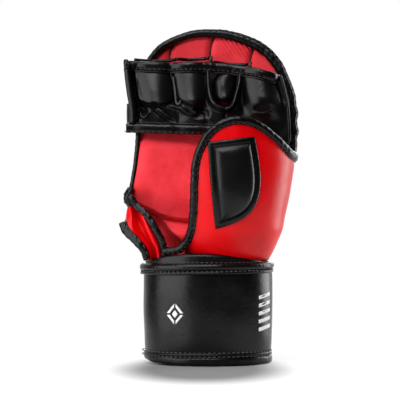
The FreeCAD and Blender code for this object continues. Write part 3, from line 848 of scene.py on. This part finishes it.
def thumb_narrow(z):
    """How much narrower the cover is at a height than at its widest."""
    return np.sqrt(np.maximum(1 - ((z - THUMB_Z) / THUMB_TALL) ** 2, 0.02))


def thumb_point(angle, z, inset=0.0):
    """The cover's outer face: the angle runs from the thumb side, round the front, to the left."""
    right = RIGHT_EDGE(z) + 0.8 - THUMB_X
    half = np.where(np.cos(angle) > 0, right, THUMB_WIDE * thumb_narrow(z)) - inset
    deep = THUMB_DEEP * thumb_narrow(z) - inset
    return stacked(THUMB_X + half * np.cos(angle), THUMB_Y - deep * np.sin(angle), z)


def thumb_angle(x, z):
    """The angle at which the cover's outer face has a given x."""
    half = np.where(x > THUMB_X, RIGHT_EDGE(z) + 0.8 - THUMB_X, THUMB_WIDE * thumb_narrow(z))
    return np.arccos(np.clip((x - THUMB_X) / half, -1, 1))


def cover_swell(x, z):
    """How far the cover's padding stands out from its plain form."""
    low = 1.5 * bell(z - 93, 13) * bell(x - 18, 24)
    return low + 0.5 * ripples(x, z, 46.0, 1.5)


# The cover's free edge, seen from the front (x, z), from the heel of the palm to the thumb side.
LEFT_RIM = [
    (-16.4, 75.5), (-15.8, 81.0), (-14.4, 87.0), (-12.6, 91.6), (-10.8, 97.5), (-9.9, 107), (-9.4, 119), (-9.0, 131),
    (-8.2, 142), (-6.2, 150), (-3.6, 156),
]
TOP_RIM = [
    (-3.6, 156), (-0.4, 161.8), (4.1, 166.8), (9.0, 170.3), (14.8, 172.9), (23, 173.8), (31.4, 172.4), (38.6, 169.0),
    (45.8, 163.6), (53.2, 157.0), (60.4, 150.0),
]
THUMB_BASE = 74.5
SIDE_ANGLE = -0.16  # where the cover ends at the thumb side
SIDE_TOP = 145.5
ARC = np.array([30, 1])  # makes steps of the angle about as long as steps of the height


def in_angles(line):
    """A smooth line through (x, z), as (angle, z) on the cover."""
    x, z = smooth_line(line, 1.0).T
    return stacked(thumb_angle(x, z), z)


rows, columns = 120, 110
left_side = spread(in_angles(LEFT_RIM), rows)
top_angles = in_angles(TOP_RIM)
over_edge = stacked(
    np.linspace(top_angles[-1, 0], SIDE_ANGLE, 12), np.linspace(TOP_RIM[-1][1], SIDE_TOP, 12)
)[1:]
top_side = spread(resample(np.vstack([top_angles * ARC, over_edge * ARC]), 1.0) / ARC, columns)
right_side = stacked(SIDE_ANGLE, np.linspace(THUMB_BASE, SIDE_TOP, rows))
bottom_side = stacked(
    np.linspace(left_side[0, 0], SIDE_ANGLE, columns), np.linspace(left_side[0, 1], THUMB_BASE, columns)
)
v = np.linspace(0, 1, rows)[:, None, None]
u = np.linspace(0, 1, columns)[None, :, None]
patch = (1 - v) * bottom_side[None] + v * top_side[None] + (1 - u) * left_side[:, None] + u * right_side[:, None]
patch -= (1 - u) * (1 - v) * bottom_side[0] + u * (1 - v) * bottom_side[-1]
patch -= (1 - u) * v * top_side[0] + u * v * top_side[-1]
cover = thumb_point(patch[..., 0], patch[..., 1])
normals = grid_normals(cover, -1)
cover = cover + normals * cover_swell(cover[..., 0], cover[..., 2])[..., None]
thumb_cover = solid_sheet("thumb_cover", cover, cover - normals * 6.4, RED, "thumb")
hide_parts("thumb_shell", "thumb_foam")
thumb_inside = solid_sheet("thumb_lining_cloth", cover - normals * 6.6, cover - normals * 8.0, LINING, "thumb")
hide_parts("thumb_lining")


def thumb_surface(line, out=0.0):
    """Lifts a line seen from the front onto the cover, and gives the directions out of it there."""
    x, z = line.T
    on = thumb_point(thumb_angle(x, z), z)
    up = unit(on - thumb_point(thumb_angle(x, z), z, inset=3.0))
    return on + up * (out + cover_swell(x, z))[:, None], up


# The edge starts as a free tape from the corded edge, and then follows the cover round.
line, up = thumb_surface(smooth_line(LEFT_RIM[3:] + TOP_RIM[1:] + [(66.2, 148.6)], 1.0), -0.6)
up = up * 0.4 + np.array([0, -0.6, 0])
TAPE = [(-31.0, -19.5, 81.0), (-27.0, -20.5, 81.6), (-22.4, -22.0, 82.0), (-18.2, -23.6, 84.0), (-15.0, -25.2, 87.4)]
tape = smooth_line(TAPE + [tuple(line[0])], 1.0)[:-1]
line = smooth_line(np.vstack([tape, line])[::3], 0.8)
up = spread(np.vstack([np.tile(up[0], (len(tape), 1)), up]), len(line))
THUMB_EDGE_WIDTH = [5.4, 6.0, 6.2, 6.2, 6.2, 6.2, 6.2, 6.2, 6.6, 8.6]
thumb_edge = binding("thumb_edge", line, up, THUMB_EDGE_WIDTH, 7.4, EDGE, "thumb", pucker=0.8, pitch=3.6, sewn=1)
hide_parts("thumb_binding")

# ---------------------------------------------------------------- badge on the thumb cover

BADGE_TOP = [(0.3, 158.5), (33.2, 162.6)]
BADGE_SIDE = [
    (33.2, 162.6), (35.1, 153), (36.7, 142.5), (37.4, 132.1), (36.2, 121.4), (32.7, 112.6), (27.1, 106.4),
    (20.2, 102.3), (13.2, 99.6), (6.0, 97.5),
]
BADGE_LEFT = [(6.0, 97.5), (4.4, 110.7), (2.2, 132.1), (0.3, 158.5)]
BORDER = 4.2
badge_outline = np.vstack([
    resample(np.array(BADGE_TOP), 0.8)[:-1], smooth_line(BADGE_SIDE, 0.8)[:-1], smooth_line(BADGE_LEFT, 0.8)[:-1]
])


def badge_layer(name, step, least, height, material):
    """A sheet on the cover, from a least distance inside the badge's outline, as high as that distance says."""
    x, z = np.meshgrid(np.arange(-1.5, 40, step), np.arange(97, 167, step), indexing="ij")
    ring = np.vstack([badge_outline, badge_outline[:1]])
    if least:
        marked = trim(x, z, badge_outline, inside=False)[2] | (distance_to(x, z, ring)[0] < least)
    else:
        x, z, marked = trim(x, z, badge_outline, inside=False)
    x, z, away = x.ravel(), z.ravel(), distance_to(x, z, ring)[0].ravel()
    on, up = thumb_surface(stacked(x, z))
    layers = [layer.reshape(*marked.shape, 3) for layer in (on + up * height(away, x, z)[:, None], on - up * 0.6)]
    return solid_sheet(name, *layers, material, "thumb", kept(marked))


def border_height(away, *_):
    """A flat border with a rounded outer edge and a groove round the pad."""
    return 1.5 * np.sqrt(np.clip(1 - (1 - np.minimum(away / 0.9, 1)) ** 2, 0, 1)) - 0.7 * bell(away - BORDER, 0.7)


def pad_height(away, x, z):
    """A soft pad that rises from the border."""
    rise = np.maximum(away - BORDER + 0.5, 0)
    return 3.4 * (1 - np.exp(-rise / 1.5)) + 1.5 * (1 - np.exp(-rise / 7.0)) + 0.12 * ripples(x, z, 17.0, 3.0)


badge_border = badge_layer("thumb_badge_edge", 0.7, 0.0, border_height, EDGE)
badge_pad = badge_layer("thumb_badge_pad", 0.55, BORDER - 0.5, pad_height, BLACK)
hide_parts("thumb_badge_border")
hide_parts("thumb_badge")

# A gusset closes the gap between the cover's side and the back pad.
z = np.linspace(84, 150, 40)
grid = between(thumb_point(0.05, z, inset=1.6), hand_point(math.radians(166), z, inset=3.0), 10)
gusset = solid_sheet("thumb_side_gusset", grid, (-1.5, 0, 0), RED)
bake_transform(gusset)
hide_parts("thumb_gusset")

# ---------------------------------------------------------------- knuckle pad

PAD_OUTLINE = [
    (-53.2, 168), (-53.8, 178), (-53.2, 189), (-51.6, 200), (-48.8, 210), (-45.0, 218.4), (-41.2, 224.3),
    (-37.5, 228.7), (-32.4, 233.0), (-24.8, 236.9), (-16.5, 240.1), (-8.0, 242.2), (2.5, 242.7), (12.5, 242.3),
    (22.2, 240.3), (31.2, 237.4), (39.8, 233.3), (45.7, 228.9), (50.1, 224.6), (53.5, 220.2), (56.4, 215.7),
    (58.4, 211.2), (60.1, 206.8), (62.1, 202.3), (63.5, 198.0), (64.8, 193.0), (65.5, 186.5), (66.7, 181.2),
    (65.9, 176.0), (66.2, 171.5), (67.0, 167.4), (65.8, 163.0), (65.8, 158), (65.3, 152.5),
]
PAD_X, PAD_Z = 4.0, 190.0
pad_line = smooth_line(PAD_OUTLINE, 0.8)


def pad_inside(x, z):
    """The lining's face: slightly hollow, and further forward at the sides."""
    return 11.0 - 0.0022 * (x - PAD_X) ** 2 - 0.0012 * (z - PAD_Z) ** 2


def inset_line(line, distance):
    """An open line moved sideways, towards its right as it runs."""
    along = unit(np.gradient(line, axis=0))
    return line + distance * stacked(along[:, 1], -along[:, 0])


PAD_EDGE_WIDTH = [4.0, 4.0, 4.6, 5.2, 5.6, 6.6, 7.6, 7.6, 7.0, 6.4, 6.0]  # from the little-finger side
edge_width = spread(np.array(PAD_EDGE_WIDTH)[:, None], len(pad_line))
x, z = inset_line(pad_line, edge_width / 2).T
rim = stacked(x, pad_inside(x, z) - 1.6, z)
pad_edge = binding(
    "knuckle_edge", rim, (0, -1, 0), edge_width[:, 0], 8.0, EDGE, "fingers", pucker=0.5, pitch=4.2, sewn=-1
)
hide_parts("knuckle_binding")

# Lining behind the fingers, sewn down along three curved seams.
PAD_SEAMS = [
    [(-23.6, 233.5), (-25.6, 229), (-27.0, 224), (-27.6, 212)],
    [(6.4, 239), (4.0, 233.5), (2.6, 227.5), (2.2, 221), (2.0, 212)],
    [(35.0, 230.5), (33.2, 226), (32.0, 221), (30.6, 210)],
]


def pad_grid(inset, low_z, rows=120, columns=170):
    """A grid of (x, z) that fills the pad's outline above a height."""
    edge = inset_line(pad_line, inset)
    top = edge[:, 1].argmax()
    z = np.linspace(low_z, edge[top, 1] - 0.02, rows)
    left = np.interp(z, edge[: top + 1, 1], edge[: top + 1, 0])
    right = np.interp(z, edge[top:, 1][::-1], edge[top:, 0][::-1])
    x = left[None, :] + (right - left)[None, :] * np.linspace(0, 1, columns)[:, None]
    return x, z[None, :] + 0 * x


x, z = pad_grid(3.2, 166.0, rows=170, columns=190)
y = pad_inside(x, z)
for seam in PAD_SEAMS:
    near, _ = distance_to(x, z, smooth_line(seam, 0.5))
    y += 1.6 * bell(near, 2.6) + 0.9 * bell(near, 0.7)
y += 1.4 * bell(distance_to(x, z, inset_line(pad_line, 5.2))[0], 2.2)
y -= 2.2 + 0.35 * ripples(x, z, 24.0, 4.0)
y -= 0.3 * np.sin(TURN * (x * 0.82 + z * 0.57) / 2.4) * step_up(6, 16, x) * step_up(219, 225, z)  # a ribbed part
lining = solid_sheet("finger_lining_cloth", stacked(x, y, z), (0, 1.6, 0), LINING, "fingers")
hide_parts("finger_lining")
for number, seam in enumerate(PAD_SEAMS):
    x, z = smooth_line(seam, 0.6).T
    line = stacked(x, pad_inside(x, z) - 0.1, z)
    binding(f"lining_seam_{number + 1}", line, (0, -1, 0), 0.95, 0.8, SEAM, "fingers", pucker=0.6, pitch=2.4)

# The pad's back: a domed leather shell with quilted knuckle ribs.
BALL_X, BALL_Y, BALL_Z, BALL = 3.0, -50.0, 175.0, 90.0


def pad_back(x, z):
    """The pad's outer face, without its soft waves."""
    return BALL_Y + np.sqrt(np.maximum(BALL**2 - (x - BALL_X) ** 2 - (z - BALL_Z) ** 2, 25.0))


x, z = pad_grid(1.2, 160.6)
front = stacked(x, np.maximum(pad_back(x, z), 12.0) + 0.4 * ripples(x, z, 22.0, 8.0), z)
pad_body = solid_sheet("knuckle_pad", front, stacked(x, pad_inside(x, z) + 1.8, z), BLACK, "fingers")
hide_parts("knuckle_shell", "knuckle_foam")

rib_low, rib_high = box_mm("knuckle_ribs")
RIB_COUNT = 4
rib_pitch = (rib_high[0] - rib_low[0] + 5.0) / RIB_COUNT
parts = []
for number in range(RIB_COUNT):
    u = np.linspace(-1, 1, 30)[:, None]
    v = np.linspace(-1, 1, 60)[None, :]
    x = rib_low[0] + rib_pitch * (number + 0.5) - 2.5 + u * (rib_pitch / 2 - 1.6)
    z = (rib_low[2] + rib_high[2]) / 2 + v * (rib_high[2] - rib_low[2]) / 2
    dome = (1 - np.abs(u) ** 4) ** 0.5 * (1 - np.abs(v) ** 8) ** 0.5
    quilt = 1 - 0.45 * bell((v * 1.5 + 1.5) % 1.0 - 0.5, 0.09) * (np.abs(v) < 0.98)
    y = pad_back(x, z) + 0.4 * ripples(x, z, 22.0, 8.0) - 0.3 + 3.6 * dome * quilt
    parts.append(sheet_parts(stacked(x, y, z), stacked(x, pad_back(x, z) - 0.8, z)))
ribs = piece("knuckle_quilting", *joined(parts), BLACK, "fingers")
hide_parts("knuckle_ribs")

# The fold between the hand and the knuckle pad.
angle = np.linspace(math.radians(14), math.radians(168), 120)[:, None]
outer = hand_point(angle, np.linspace(147, 167, 24)[None, :], inset=4.6)
fold_piece = solid_sheet("knuckle_fold_leather", outer, outer * np.array([0.97, 0.93, 1.0]), BLACK)
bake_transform(fold_piece)
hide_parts("knuckle_fold")

# ---------------------------------------------------------------- finger loops

BAND_LOW = profile((-62, -50, -30, 0, 20, 34, 46, 60), (166.8, 166.8, 166.2, 165.4, 165, 163, 159, 158))
BAND_TOP = profile(
    (-62, -59, -50, -41, -25, -12, 0, 4.3, 15, 23.7, 32.3, 39.4, 50.9, 56),
    (217.8, 217.9, 217.9, 217.4, 217.0, 217.2, 217.2, 216.9, 216.1, 214.7, 213.4, 211.6, 208.6, 207.2),
)
BAND_LEFT = profile(
    (164, 173, 179, 187, 192, 200.5, 211, 218), (-57.6, -56.2, -56.0, -56.4, -57.0, -58.4, -59.3, -59.5)
)
BAND_RIGHT = profile((155, 161, 175.4, 189.7, 200.5, 209, 216), (58.0, 58.9, 58.5, 57.0, 54.4, 51.6, 50))
VALLEY_Y = -12.0
LEAN_FROM = 187.0
U_LINE = [
    (0.7, 212.5), (0.8, 206), (1.4, 196.8), (2.9, 190.2), (5.7, 186.4), (9.3, 184.4), (12.9, 183.5), (15.8, 183.8),
    (18.1, 185.4), (19.6, 188.9), (20.8, 193.2), (22.2, 198.2), (23.4, 204.0), (24.2, 211.5),
]
# Valleys between the loops, from left to right: heights and places.
VALLEYS = [
    profile((164, 172, 177, 184, 189.6, 200.4, 212.6, 218), (-51.8, -51.6, -50.9, -49.4, -50.5, -52.3, -54.1, -54.6)),
    profile((164, 180, 189.6, 200.4, 211, 218), (-20.5, -21.0, -22.6, -24.3, -25.8, -26.4)),
    profile((164, 190, 218), (-0.4, -0.6, -0.6)),
    profile((164, 180, 200, 218), (25.6, 25.4, 24.6, 24.6)),
    profile((155, 175.3, 186, 195.4, 204, 218), (57.6, 57.4, 56.0, 54.0, 51.6, 48.5)),
]
# Each bulge: how far it stands out, the height where it ends, how gently it ends, its depth below that,
# and the power of a sine that shapes it from side to side.
BULGES = [
    (8.6, 186.2, 1.5, 1.5, 0.62),
    (8.6, 184.4, 5.0, 0.8, 0.42),
    (5.0, 184.0, 4.0, 1.5, 0.6),
    (9.2, 182.5, 10.0, 1.5, 0.7),
]
# Each hole: centre x and z, half width, half height, and the power that makes its ends pointed.
VENTS = [(-38.4, 185.9, 5.5, 2.7, 2.0), (39.5, 184.2, 6.7, 3.3, 1.5)]
CREASES = [
    # line, height (negative for a furrow), width
    ([(-27.5, 186.0), (-20, 184.4), (-17.2, 182.4), (-13.6, 180.2), (-10, 179.7), (-7.2, 181.1)], 3.0, 1.5),
    ([(-21.5, 188.5), (-17, 187), (-12.5, 184.8)], -2.6, 2.0),
    ([(-7.5, 183.0), (-3.5, 182.2), (0, 180.5)], -3.0, 1.8),
    ([(-48.5, 182.5), (-47.2, 178.4), (-44.6, 177.2), (-42.4, 180.5)], 2.2, 1.1),
    ([(-48.2, 186.5), (-46.2, 184.2), (-44.0, 181.8)], -4.2, 1.9),
    ([(-36.6, 182.0), (-32, 178.5), (-28, 175.6), (-24, 174.4)], -2.0, 1.4),
    ([(-34.5, 183.2), (-31, 180.4), (-27.5, 178.0)], 1.6, 1.5),
    ([(12.9, 184.6), (12.9, 175.0)], -1.8, 0.6),
    ([(-53.0, 212), (-50.9, 204), (-50.1, 195.4), (-48.0, 189.6), (-43.6, 186.1)], 1.8, 1.0),
    ([(33.5, 180.6), (39.5, 179.8), (45.5, 180.6)], 1.0, 1.1),
    ([(-16, 176.5), (-6, 175.2), (2, 176.0)], 0.9, 2.0),
]


def band_y(x, z):
    """The front of the finger loops: bulges between valleys, ending above a creased sheet."""
    above = np.maximum(z - LEAN_FROM, 0)
    y = VALLEY_Y + 0.10 * above + 0 * x
    for number, (out, end, gentle, below, blunt) in enumerate(BULGES):
        left, right = VALLEYS[number](z) + 1.2, VALLEYS[number + 1](z) - 1.0
        t = np.clip((x - left) / (right - left), 0, 1)
        full = np.sin(math.pi * t) ** blunt
        floor = end + 5.0 * np.abs(2 * t - 1) ** 3
        share = step_up(floor - gentle, floor + gentle, z)
        y -= full * ((out - 0.17 * above) * share + below * (1 - share) * step_up(165, 174, z))
    for line, height, width in CREASES + [(U_LINE, 4.6, 2.0)]:
        y -= crease(x, z, line, height, width)
    y += 7.0 * bell(x - VALLEYS[0](z), 1.5, 4) * step_up(170, 178, z)  # a gap beside the side roll
    y -= 0.5 * (1 - step_up(184, 192, z)) * ripples(x, z, 15.0, 2.0)
    return y - 0.3 * ripples(x, z, 26.0, 9.0)


s = np.linspace(0, 1, 250)[:, None]
share = np.linspace(0, 1, 130)[None, :]
guess = -59.0 + 112.0 * s
z = BAND_LOW(guess) + 1.0 + share * (BAND_TOP(guess) - 2.0 - BAND_LOW(guess) - 1.0)
x = BAND_LEFT(z) + s * (BAND_RIGHT(z) - BAND_LEFT(z))
holes = [np.vstack([smooth_line(U_LINE, 0.5), [(24.2, 220.0), (0.7, 220.0)]])]
turn = np.linspace(0, TURN, 60, endpoint=False)
for centre_x, centre_z, half_x, half_z, power in VENTS:
    holes.append(stacked(centre_x + half_x * np.cos(turn), centre_z + half_z * powered(np.sin(turn), power)))
open_here = np.zeros(x.shape, bool)
for hole in holes:
    x, z, marked = trim(x, z, hole)
    open_here |= marked
front = stacked(x, band_y(x, z), z)
band = solid_sheet("finger_band", front, (0, 1.7, 0), BLACK, "fingers", kept(open_here))
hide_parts("finger_loop_front")


def on_band(x, z, out=0.0):
    """A line seen from the front, laid on the finger loops."""
    return stacked(x, band_y(x[:, None], z[:, None])[:, 0] - out, z)


def band_binding(name, low, high, heights, depth_heights, out, *sizes, **sewing):
    """A binding across the loops at heights given as a function of x, as deep as they are at other heights."""
    x = np.linspace(low, high, 400)
    y = np.convolve(np.pad(on_band(x, depth_heights(x), out)[:, 1], 12, mode="edge"), np.ones(25) / 25, mode="valid")
    line = resample(stacked(x, y + 5.0 * step_up(47.0, 53.0, x), heights(x)), 0.9)
    return binding(name, line, (0, -1, 0), *sizes, "fingers", **sewing)


HEM_TALL = 6.4
top_edge = band_binding(
    "band_top_binding", -58.9, 52.6, lambda x: BAND_TOP(x) - HEM_TALL / 2, lambda x: BAND_TOP(x) - 8.0,
    0.6, HEM_TALL, 4.2, EDGE, pucker=0.5, pitch=3.4, sewn=1,
)
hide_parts("finger_loop_top_binding")
band_binding(
    "band_top_lip", -52.0, 51.5, lambda x: BAND_TOP(x) - HEM_TALL - 0.7, lambda x: BAND_TOP(x) - 8.4,
    0.3, 1.3, 1.6, BLACK, pitch=3.4,
)
bottom_edge = band_binding(
    "band_bottom_binding", -58.2, 30.0, lambda x: BAND_LOW(x) + 2.9, lambda x: BAND_LOW(x) + 4.0,
    0.9, 6.9, 4.4, EDGE, pucker=0.4, pitch=4.0, sewn=1,
)
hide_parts("finger_loop_bottom_binding")
band_binding(
    "band_bottom_lip", -55.5, 30.0, lambda x: BAND_LOW(x) + 6.9, lambda x: BAND_LOW(x) + 7.0,
    0.4, 1.3, 1.8, BLACK, pitch=4.0,
)

# The piped edge of the U-shaped cut-out, and the tongue that lies inside it.
line = on_band(*smooth_line(U_LINE, 0.7).T, 0.2)
binding("loop_cutout_edge", line, (0, -1, 0), 1.9, 2.4, BLACK, "fingers", pucker=0.1, pitch=9.0)
v = np.linspace(0, 1, 70)[None, :]
u = np.linspace(0, 1, 50)[:, None]
z = 186.0 + v * 25.5
left = np.interp(z, [186, 188, 191, 194, 199, 204, 210, 214], [9.8, 7.6, 5.8, 4.4, 3.6, 4.0, 7.4, 9.5])
right = np.interp(z, [186, 189, 192, 199, 209, 214], [15.0, 17.6, 19.0, 20.8, 22.4, 23.0])
x = left + (right - left) * u
y = -8.5 + 0.22 * np.maximum(z - 192, 0) - 6.4 * np.sin(math.pi * u) ** 0.45 * step_up(-0.08, 0.2, v)
solid_sheet("loop_tongue", stacked(x, y + 0.3 * ripples(x, z, 11, 2), z), (0, 1.6, 0), BLACK, "fingers")


def small_bindings(rows):
    """Bindings on the finger section that no row of stitches follows, one for each row of a table."""
    for name, line, up, wide, deep, material, pucker, pitch, smooth in rows:
        binding(name, line, up, wide, deep, material, "fingers", pucker=pucker, pitch=pitch, smooth=smooth)


# A loose thread hangs in the first valley, knotted at its end, and stitched tabs mark the dividers.
THREAD_LINE = [
    (-24.4, -13.6, 206.5), (-23.6, -14.0, 201), (-22.9, -14.2, 196), (-22.6, -14.0, 191), (-22.2, -14.0, 188.5)
]
THREAD_KNOT = [(-22.4, -14.6, 188.8), (-21.4, -15.2, 186.8), (-20.0, -15.2, 187.2), (-18.9, -14.8, 189.4)]
TAB_LINES = [
    [(x, -9.0, top - 6.0), (x, -8.6, top - 3.0), (x + 0.2, -7.8, top)] for x, top in ((2.8, 221.6), (31.3, 217.8))
]
small_bindings([
    # name, line, direction out, width, depth, material, pucker, pitch, step along the smooth line
    ("loop_thread", THREAD_LINE, (0, -1, 0), 1.1, 1.1, THREAD, 0.3, 3.0, 0.6),
    ("loop_thread_knot", THREAD_KNOT, (0, -1, 0), 1.2, 1.2, THREAD, 0.3, 2.0, 0.5),
    ("divider_tab_1", TAB_LINES[0], (0, -1, 0), 2.4, 1.8, EDGE, 0.6, 1.6, 0.6),
    ("divider_tab_2", TAB_LINES[1], (0, -1, 0), 2.4, 1.8, EDGE, 0.6, 1.6, 0.6),
])

# The loops' backs, their rims, the walls between the fingers, and the two end walls.
x = np.linspace(-53, 50, 120)[:, None]
z = 171.0 + np.linspace(0, 1, 40)[None, :] * (BAND_TOP(x) + 0.5 - 171.0)
front = stacked(x, np.minimum(pad_inside(x, z) - 4.4, 4.0), z)
# the backs take the darkened lining, a painted shade for the shadow inside the loops
backs = solid_sheet("loop_backs", front, (0, 1.2, 0), SHADED_LINING, "fingers")
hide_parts("finger_loop_backs")
RIMS = {  # from x, to x, height at the left and at the right
    "little": (-51.5, -23.5, 219.6, 219.6),
    "ring": (-21.8, 1.0, 220.2, 221.0),
    "middle": (4.5, 28.5, 218.2, 216.2),
    "index": (32, 50, 213.4, 209.0),
}
for label, (low, high, left_z, right_z) in RIMS.items():
    dip = np.sin(np.linspace(0, math.pi, 60))
    line = stacked(np.linspace(low, high, 60), 1.5 - 5.0 * (1 - dip**0.5), np.linspace(left_z, right_z, 60) - 0.5 * dip)
    binding(f"{label}_back_rim", line, (0, -1, 0), 2.4, 3.0, EDGE, "fingers", pucker=0.3, pitch=5.0)

parts = []
for valley, wall_x in zip(VALLEYS[1:], (-25.5, 0.4, 24.6)):
    z = 172.0 + np.linspace(0, 1, 30)[None, :] * (BAND_TOP(wall_x) - 3.0 - 172.0)
    u = np.linspace(0, 1, 16)[:, None]
    y = VALLEY_Y + 1.8 + u * 12.0
    bow = 0.9 + 0.8 * np.sin(math.pi * u)
    parts.append(sheet_parts(stacked(valley(z) - bow, y, z), stacked(valley(z) + bow, y, z)))
dividers = piece("loop_dividers", *joined(parts), BLACK, "fingers")
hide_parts("finger_dividers")


def end_wall(name, front_line, back_line, node):
    """A wall between a line on the loops' fronts and a line on the pad's edge."""
    wall = solid_sheet(name, between(front_line, back_line, 20), (1.5, 0.3, 0), BLACK, "fingers")
    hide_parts(node)


z = np.linspace(167.5, 218.2, 60)
left_back = stacked(np.interp(z, [168, 200, 220], [-53.5, -50, -43.5]), 4.5, z + 1.4 * step_up(205, 218, z))
end_wall("little_finger_side", stacked(BAND_LEFT(z) + 0.2, VALLEY_Y - 0.6, z), left_back, "little_finger_wall")
z = np.linspace(160, 207.5, 50)
right_back = stacked(np.interp(z, [158, 190, 210], [60.6, 60.0, 54.0]), 5.0, z)
end_wall("index_finger_side", stacked(BAND_RIGHT(z) - 0.3, VALLEY_Y - 0.6, z), right_back, "index_finger_wall")
PIPED_SIDE = [
    (53.4, -11.6, 206.0), (55.4, -11.8, 198.7), (57.0, -11.8, 190.1), (58.3, -11.6, 184.3), (58.8, -11.4, 175.7),
    (59.1, -11.2, 168.5), (58.4, -11, 158.5),
]
ROLLED_SIDE = [
    (-57.6, -13.4, 212.5), (-56.6, -14.2, 204), (-55.4, -15.0, 195), (-54.2, -15.0, 188), (-53.4, -14.4, 181),
    (-53.4, -13.6, 173.6),
]
SIDE_LIP = [(-56.4, -9.6, 187.4), (-56.6, -9.8, 181), (-56.4, -10.2, 173.5)]
SIDE_CORNER = [(-58.0, -13.0, 218.2), (-58.2, -14.6, 215.5), (-57.6, -14.8, 212.5)]
small_bindings([
    ("index_side_piping", PIPED_SIDE, (0.3, -1, 0), 1.7, 2.0, BLACK, 0.3, 7.0, 0.8),
    ("little_side_roll", ROLLED_SIDE, (-0.5, -1, 0.2), 4.4, 4.2, BLACK, 0.15, 9.0, 0.8),
    ("little_side_lip", SIDE_LIP, (-0.3, -1, 0), 2.6, 2.4, BLACK, 0.2, 6.0, 0.8),
    ("little_side_corner", SIDE_CORNER, (-0.3, -1, 0), 3.6, 3.6, EDGE, 1.0, 2.4, 0.6),
])

# Leather that joins the band to the hand, seen beside the thumb cover's arch.
x = np.linspace(30, 58.2, 50)[:, None]
z = np.linspace(150, 170, 30)[None, :]
y = -10.4 - 2.0 * np.sin(math.pi * (x - 30) / 28.2) * step_up(150, 162, z)
corner = solid_sheet("index_corner_leather", stacked(x + 0.6 * step_up(166, 154, z), y, z), (0, 1.5, 0), BLACK)
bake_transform(corner)

z = np.linspace(146.0, 163.0, 24)
grid = between(stacked(BAND_RIGHT(z) - 0.4, -11.6, z), stacked(60.8, 6.0, z), 12)
index_gusset = solid_sheet("index_side_gusset", grid, (-1.4, 0, 0), BLACK)
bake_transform(index_gusset)

# ---------------------------------------------------------------- floor, light and camera


# All sizes from here on are metres.
FLOOR_RADIUS = 0.36
# the floor's own grey, left bare near the glove where the glow is low, as a painted shadow
FLOOR_GREY = 0.22
PICTURE_WIDTH = 0.2906  # across the frame, at the glove
CAMERA_AWAY = 1.30
CAMERA_X, CAMERA_Z = -0.005, 0.118
MIDDLE = (0.0, 0.0, 0.12)  # what the lights face
LIGHTS = [
    # name, place, width, height, power in watts
    ("left_softbox", (-1.25, -0.87, 0.45), 1.5, 1.8, 28),
    ("front_softbox", (-0.15, -1.15, 1.2), 0.9, 0.5, 11),
    ("right_softbox", (1.45, 0.66, 0.35), 0.8, 1.6, 24),
    ("top_softbox", (-0.2, -0.4, 1.5), 1.1, 0.8, 12),
    ("back_softbox", (0.4, 1.6, 0.8), 1.2, 1.2, 14),
]


def make_floor():
    """A round pale floor with a painted glow that grows towards its rim and fades it into the white; low by the glove,
    the glow leaves a painted shadow there, added to the lamps' real one.
    """
    rings, spokes = 24, 96
    radius = np.linspace(0.0, FLOOR_RADIUS, rings)[1:, None]
    turn = np.linspace(0, TURN, spokes, endpoint=False)[None, :]
    points = stacked(radius * np.cos(turn), radius * np.sin(turn), 0.0).reshape(-1, 3)
    points = np.vstack([points, [[0, 0, 0]]])
    faces = grid_faces(rings - 1, spokes, wrap_columns=True).tolist()
    faces += [[len(points) - 1, k, (k + 1) % spokes] for k in range(spokes)]
    mesh = bpy.data.meshes.new("studio_floor")
    mesh.from_pydata(points.tolist(), [], faces)
    floor = add_object("studio_floor", mesh)
    material, tree, shader = new_material("floor_painted_shadow", Roughness=0.9, Specular_IOR_Level=0.0)
    # the painted glow depends on the distance from the glove's foot, in a stretched and shifted frame; it is low near
    # the foot, which paints the shadow there
    squeezed = {0: place(tree), 1: (1.35, 0.8, 1.0), 2: (0.004, 0.042, 0.0)}
    away = node(tree, "VectorMath", squeezed, "Vector", operation="MULTIPLY_ADD")
    away = node(tree, "VectorMath", {0: away}, "Value", operation="LENGTH")
    painted_shadow_glow = {"Value": away, "From Min": 0.045, "From Max": 0.1, "To Min": 0.0, "To Max": 0.8}
    feed(tree, shader, {
        "Base Color": (FLOOR_GREY, FLOOR_GREY, FLOOR_GREY, 1),
        "Emission Color": (1, 1, 1, 1),
        "Emission Strength": node(tree, "MapRange", painted_shadow_glow, "Result", interpolation_type="SMOOTHSTEP"),
    })
    mesh.materials.append(material)
    floor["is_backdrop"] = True


def make_world():
    """White to the camera; as light, bright behind the glove and dark on the palm side."""
    world = bpy.data.worlds.new("studio_world")
    bpy.context.scene.world = world
    world.use_nodes = True
    tree = world.node_tree
    behind = node(tree, "SeparateXYZ", {"Vector": node(tree, "TexCoord", {}, "Generated")}, "Y")
    level = {"Value": behind, "From Min": 0.3, "From Max": 0.8, "To Min": 0.02, "To Max": 0.9}
    light = node(tree, "MapRange", level, "Result")
    seen = maths(tree, "MAXIMUM", light, node(tree, "LightPath", {}, "Is Camera Ray"))
    feed(tree, tree.nodes["Background"], {"Strength": seen, "Color": (1, 1, 1, 1)})


def make_camera():
    """The camera, level and square to the glove, with the lens that gives the picture its width."""
    data = bpy.data.cameras.new("camera")
    data.sensor_width = 36.0
    data.lens = data.sensor_width * CAMERA_AWAY / PICTURE_WIDTH
    camera = add_object("camera", data)
    camera.location = (CAMERA_X, -CAMERA_AWAY, CAMERA_Z)
    camera.rotation_euler = (math.pi / 2, 0, 0)
    bpy.context.scene.camera = camera


def area_light(name, where, width, height, power):
    """A soft box that faces the middle of the glove."""
    data = bpy.data.lights.new(name, "AREA")
    data.shape = "RECTANGLE"
    data.size, data.size_y, data.energy = width, height, power
    light = add_object(name, data)
    light.location = where
    light.rotation_euler = (Vector(MIDDLE) - Vector(where)).to_track_quat("-Z", "Y").to_euler()


make_floor()
make_world()
make_camera()
for light in LIGHTS:
    area_light(*light)
bpy.context.scene.view_settings.view_transform = "Standard"

low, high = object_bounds()
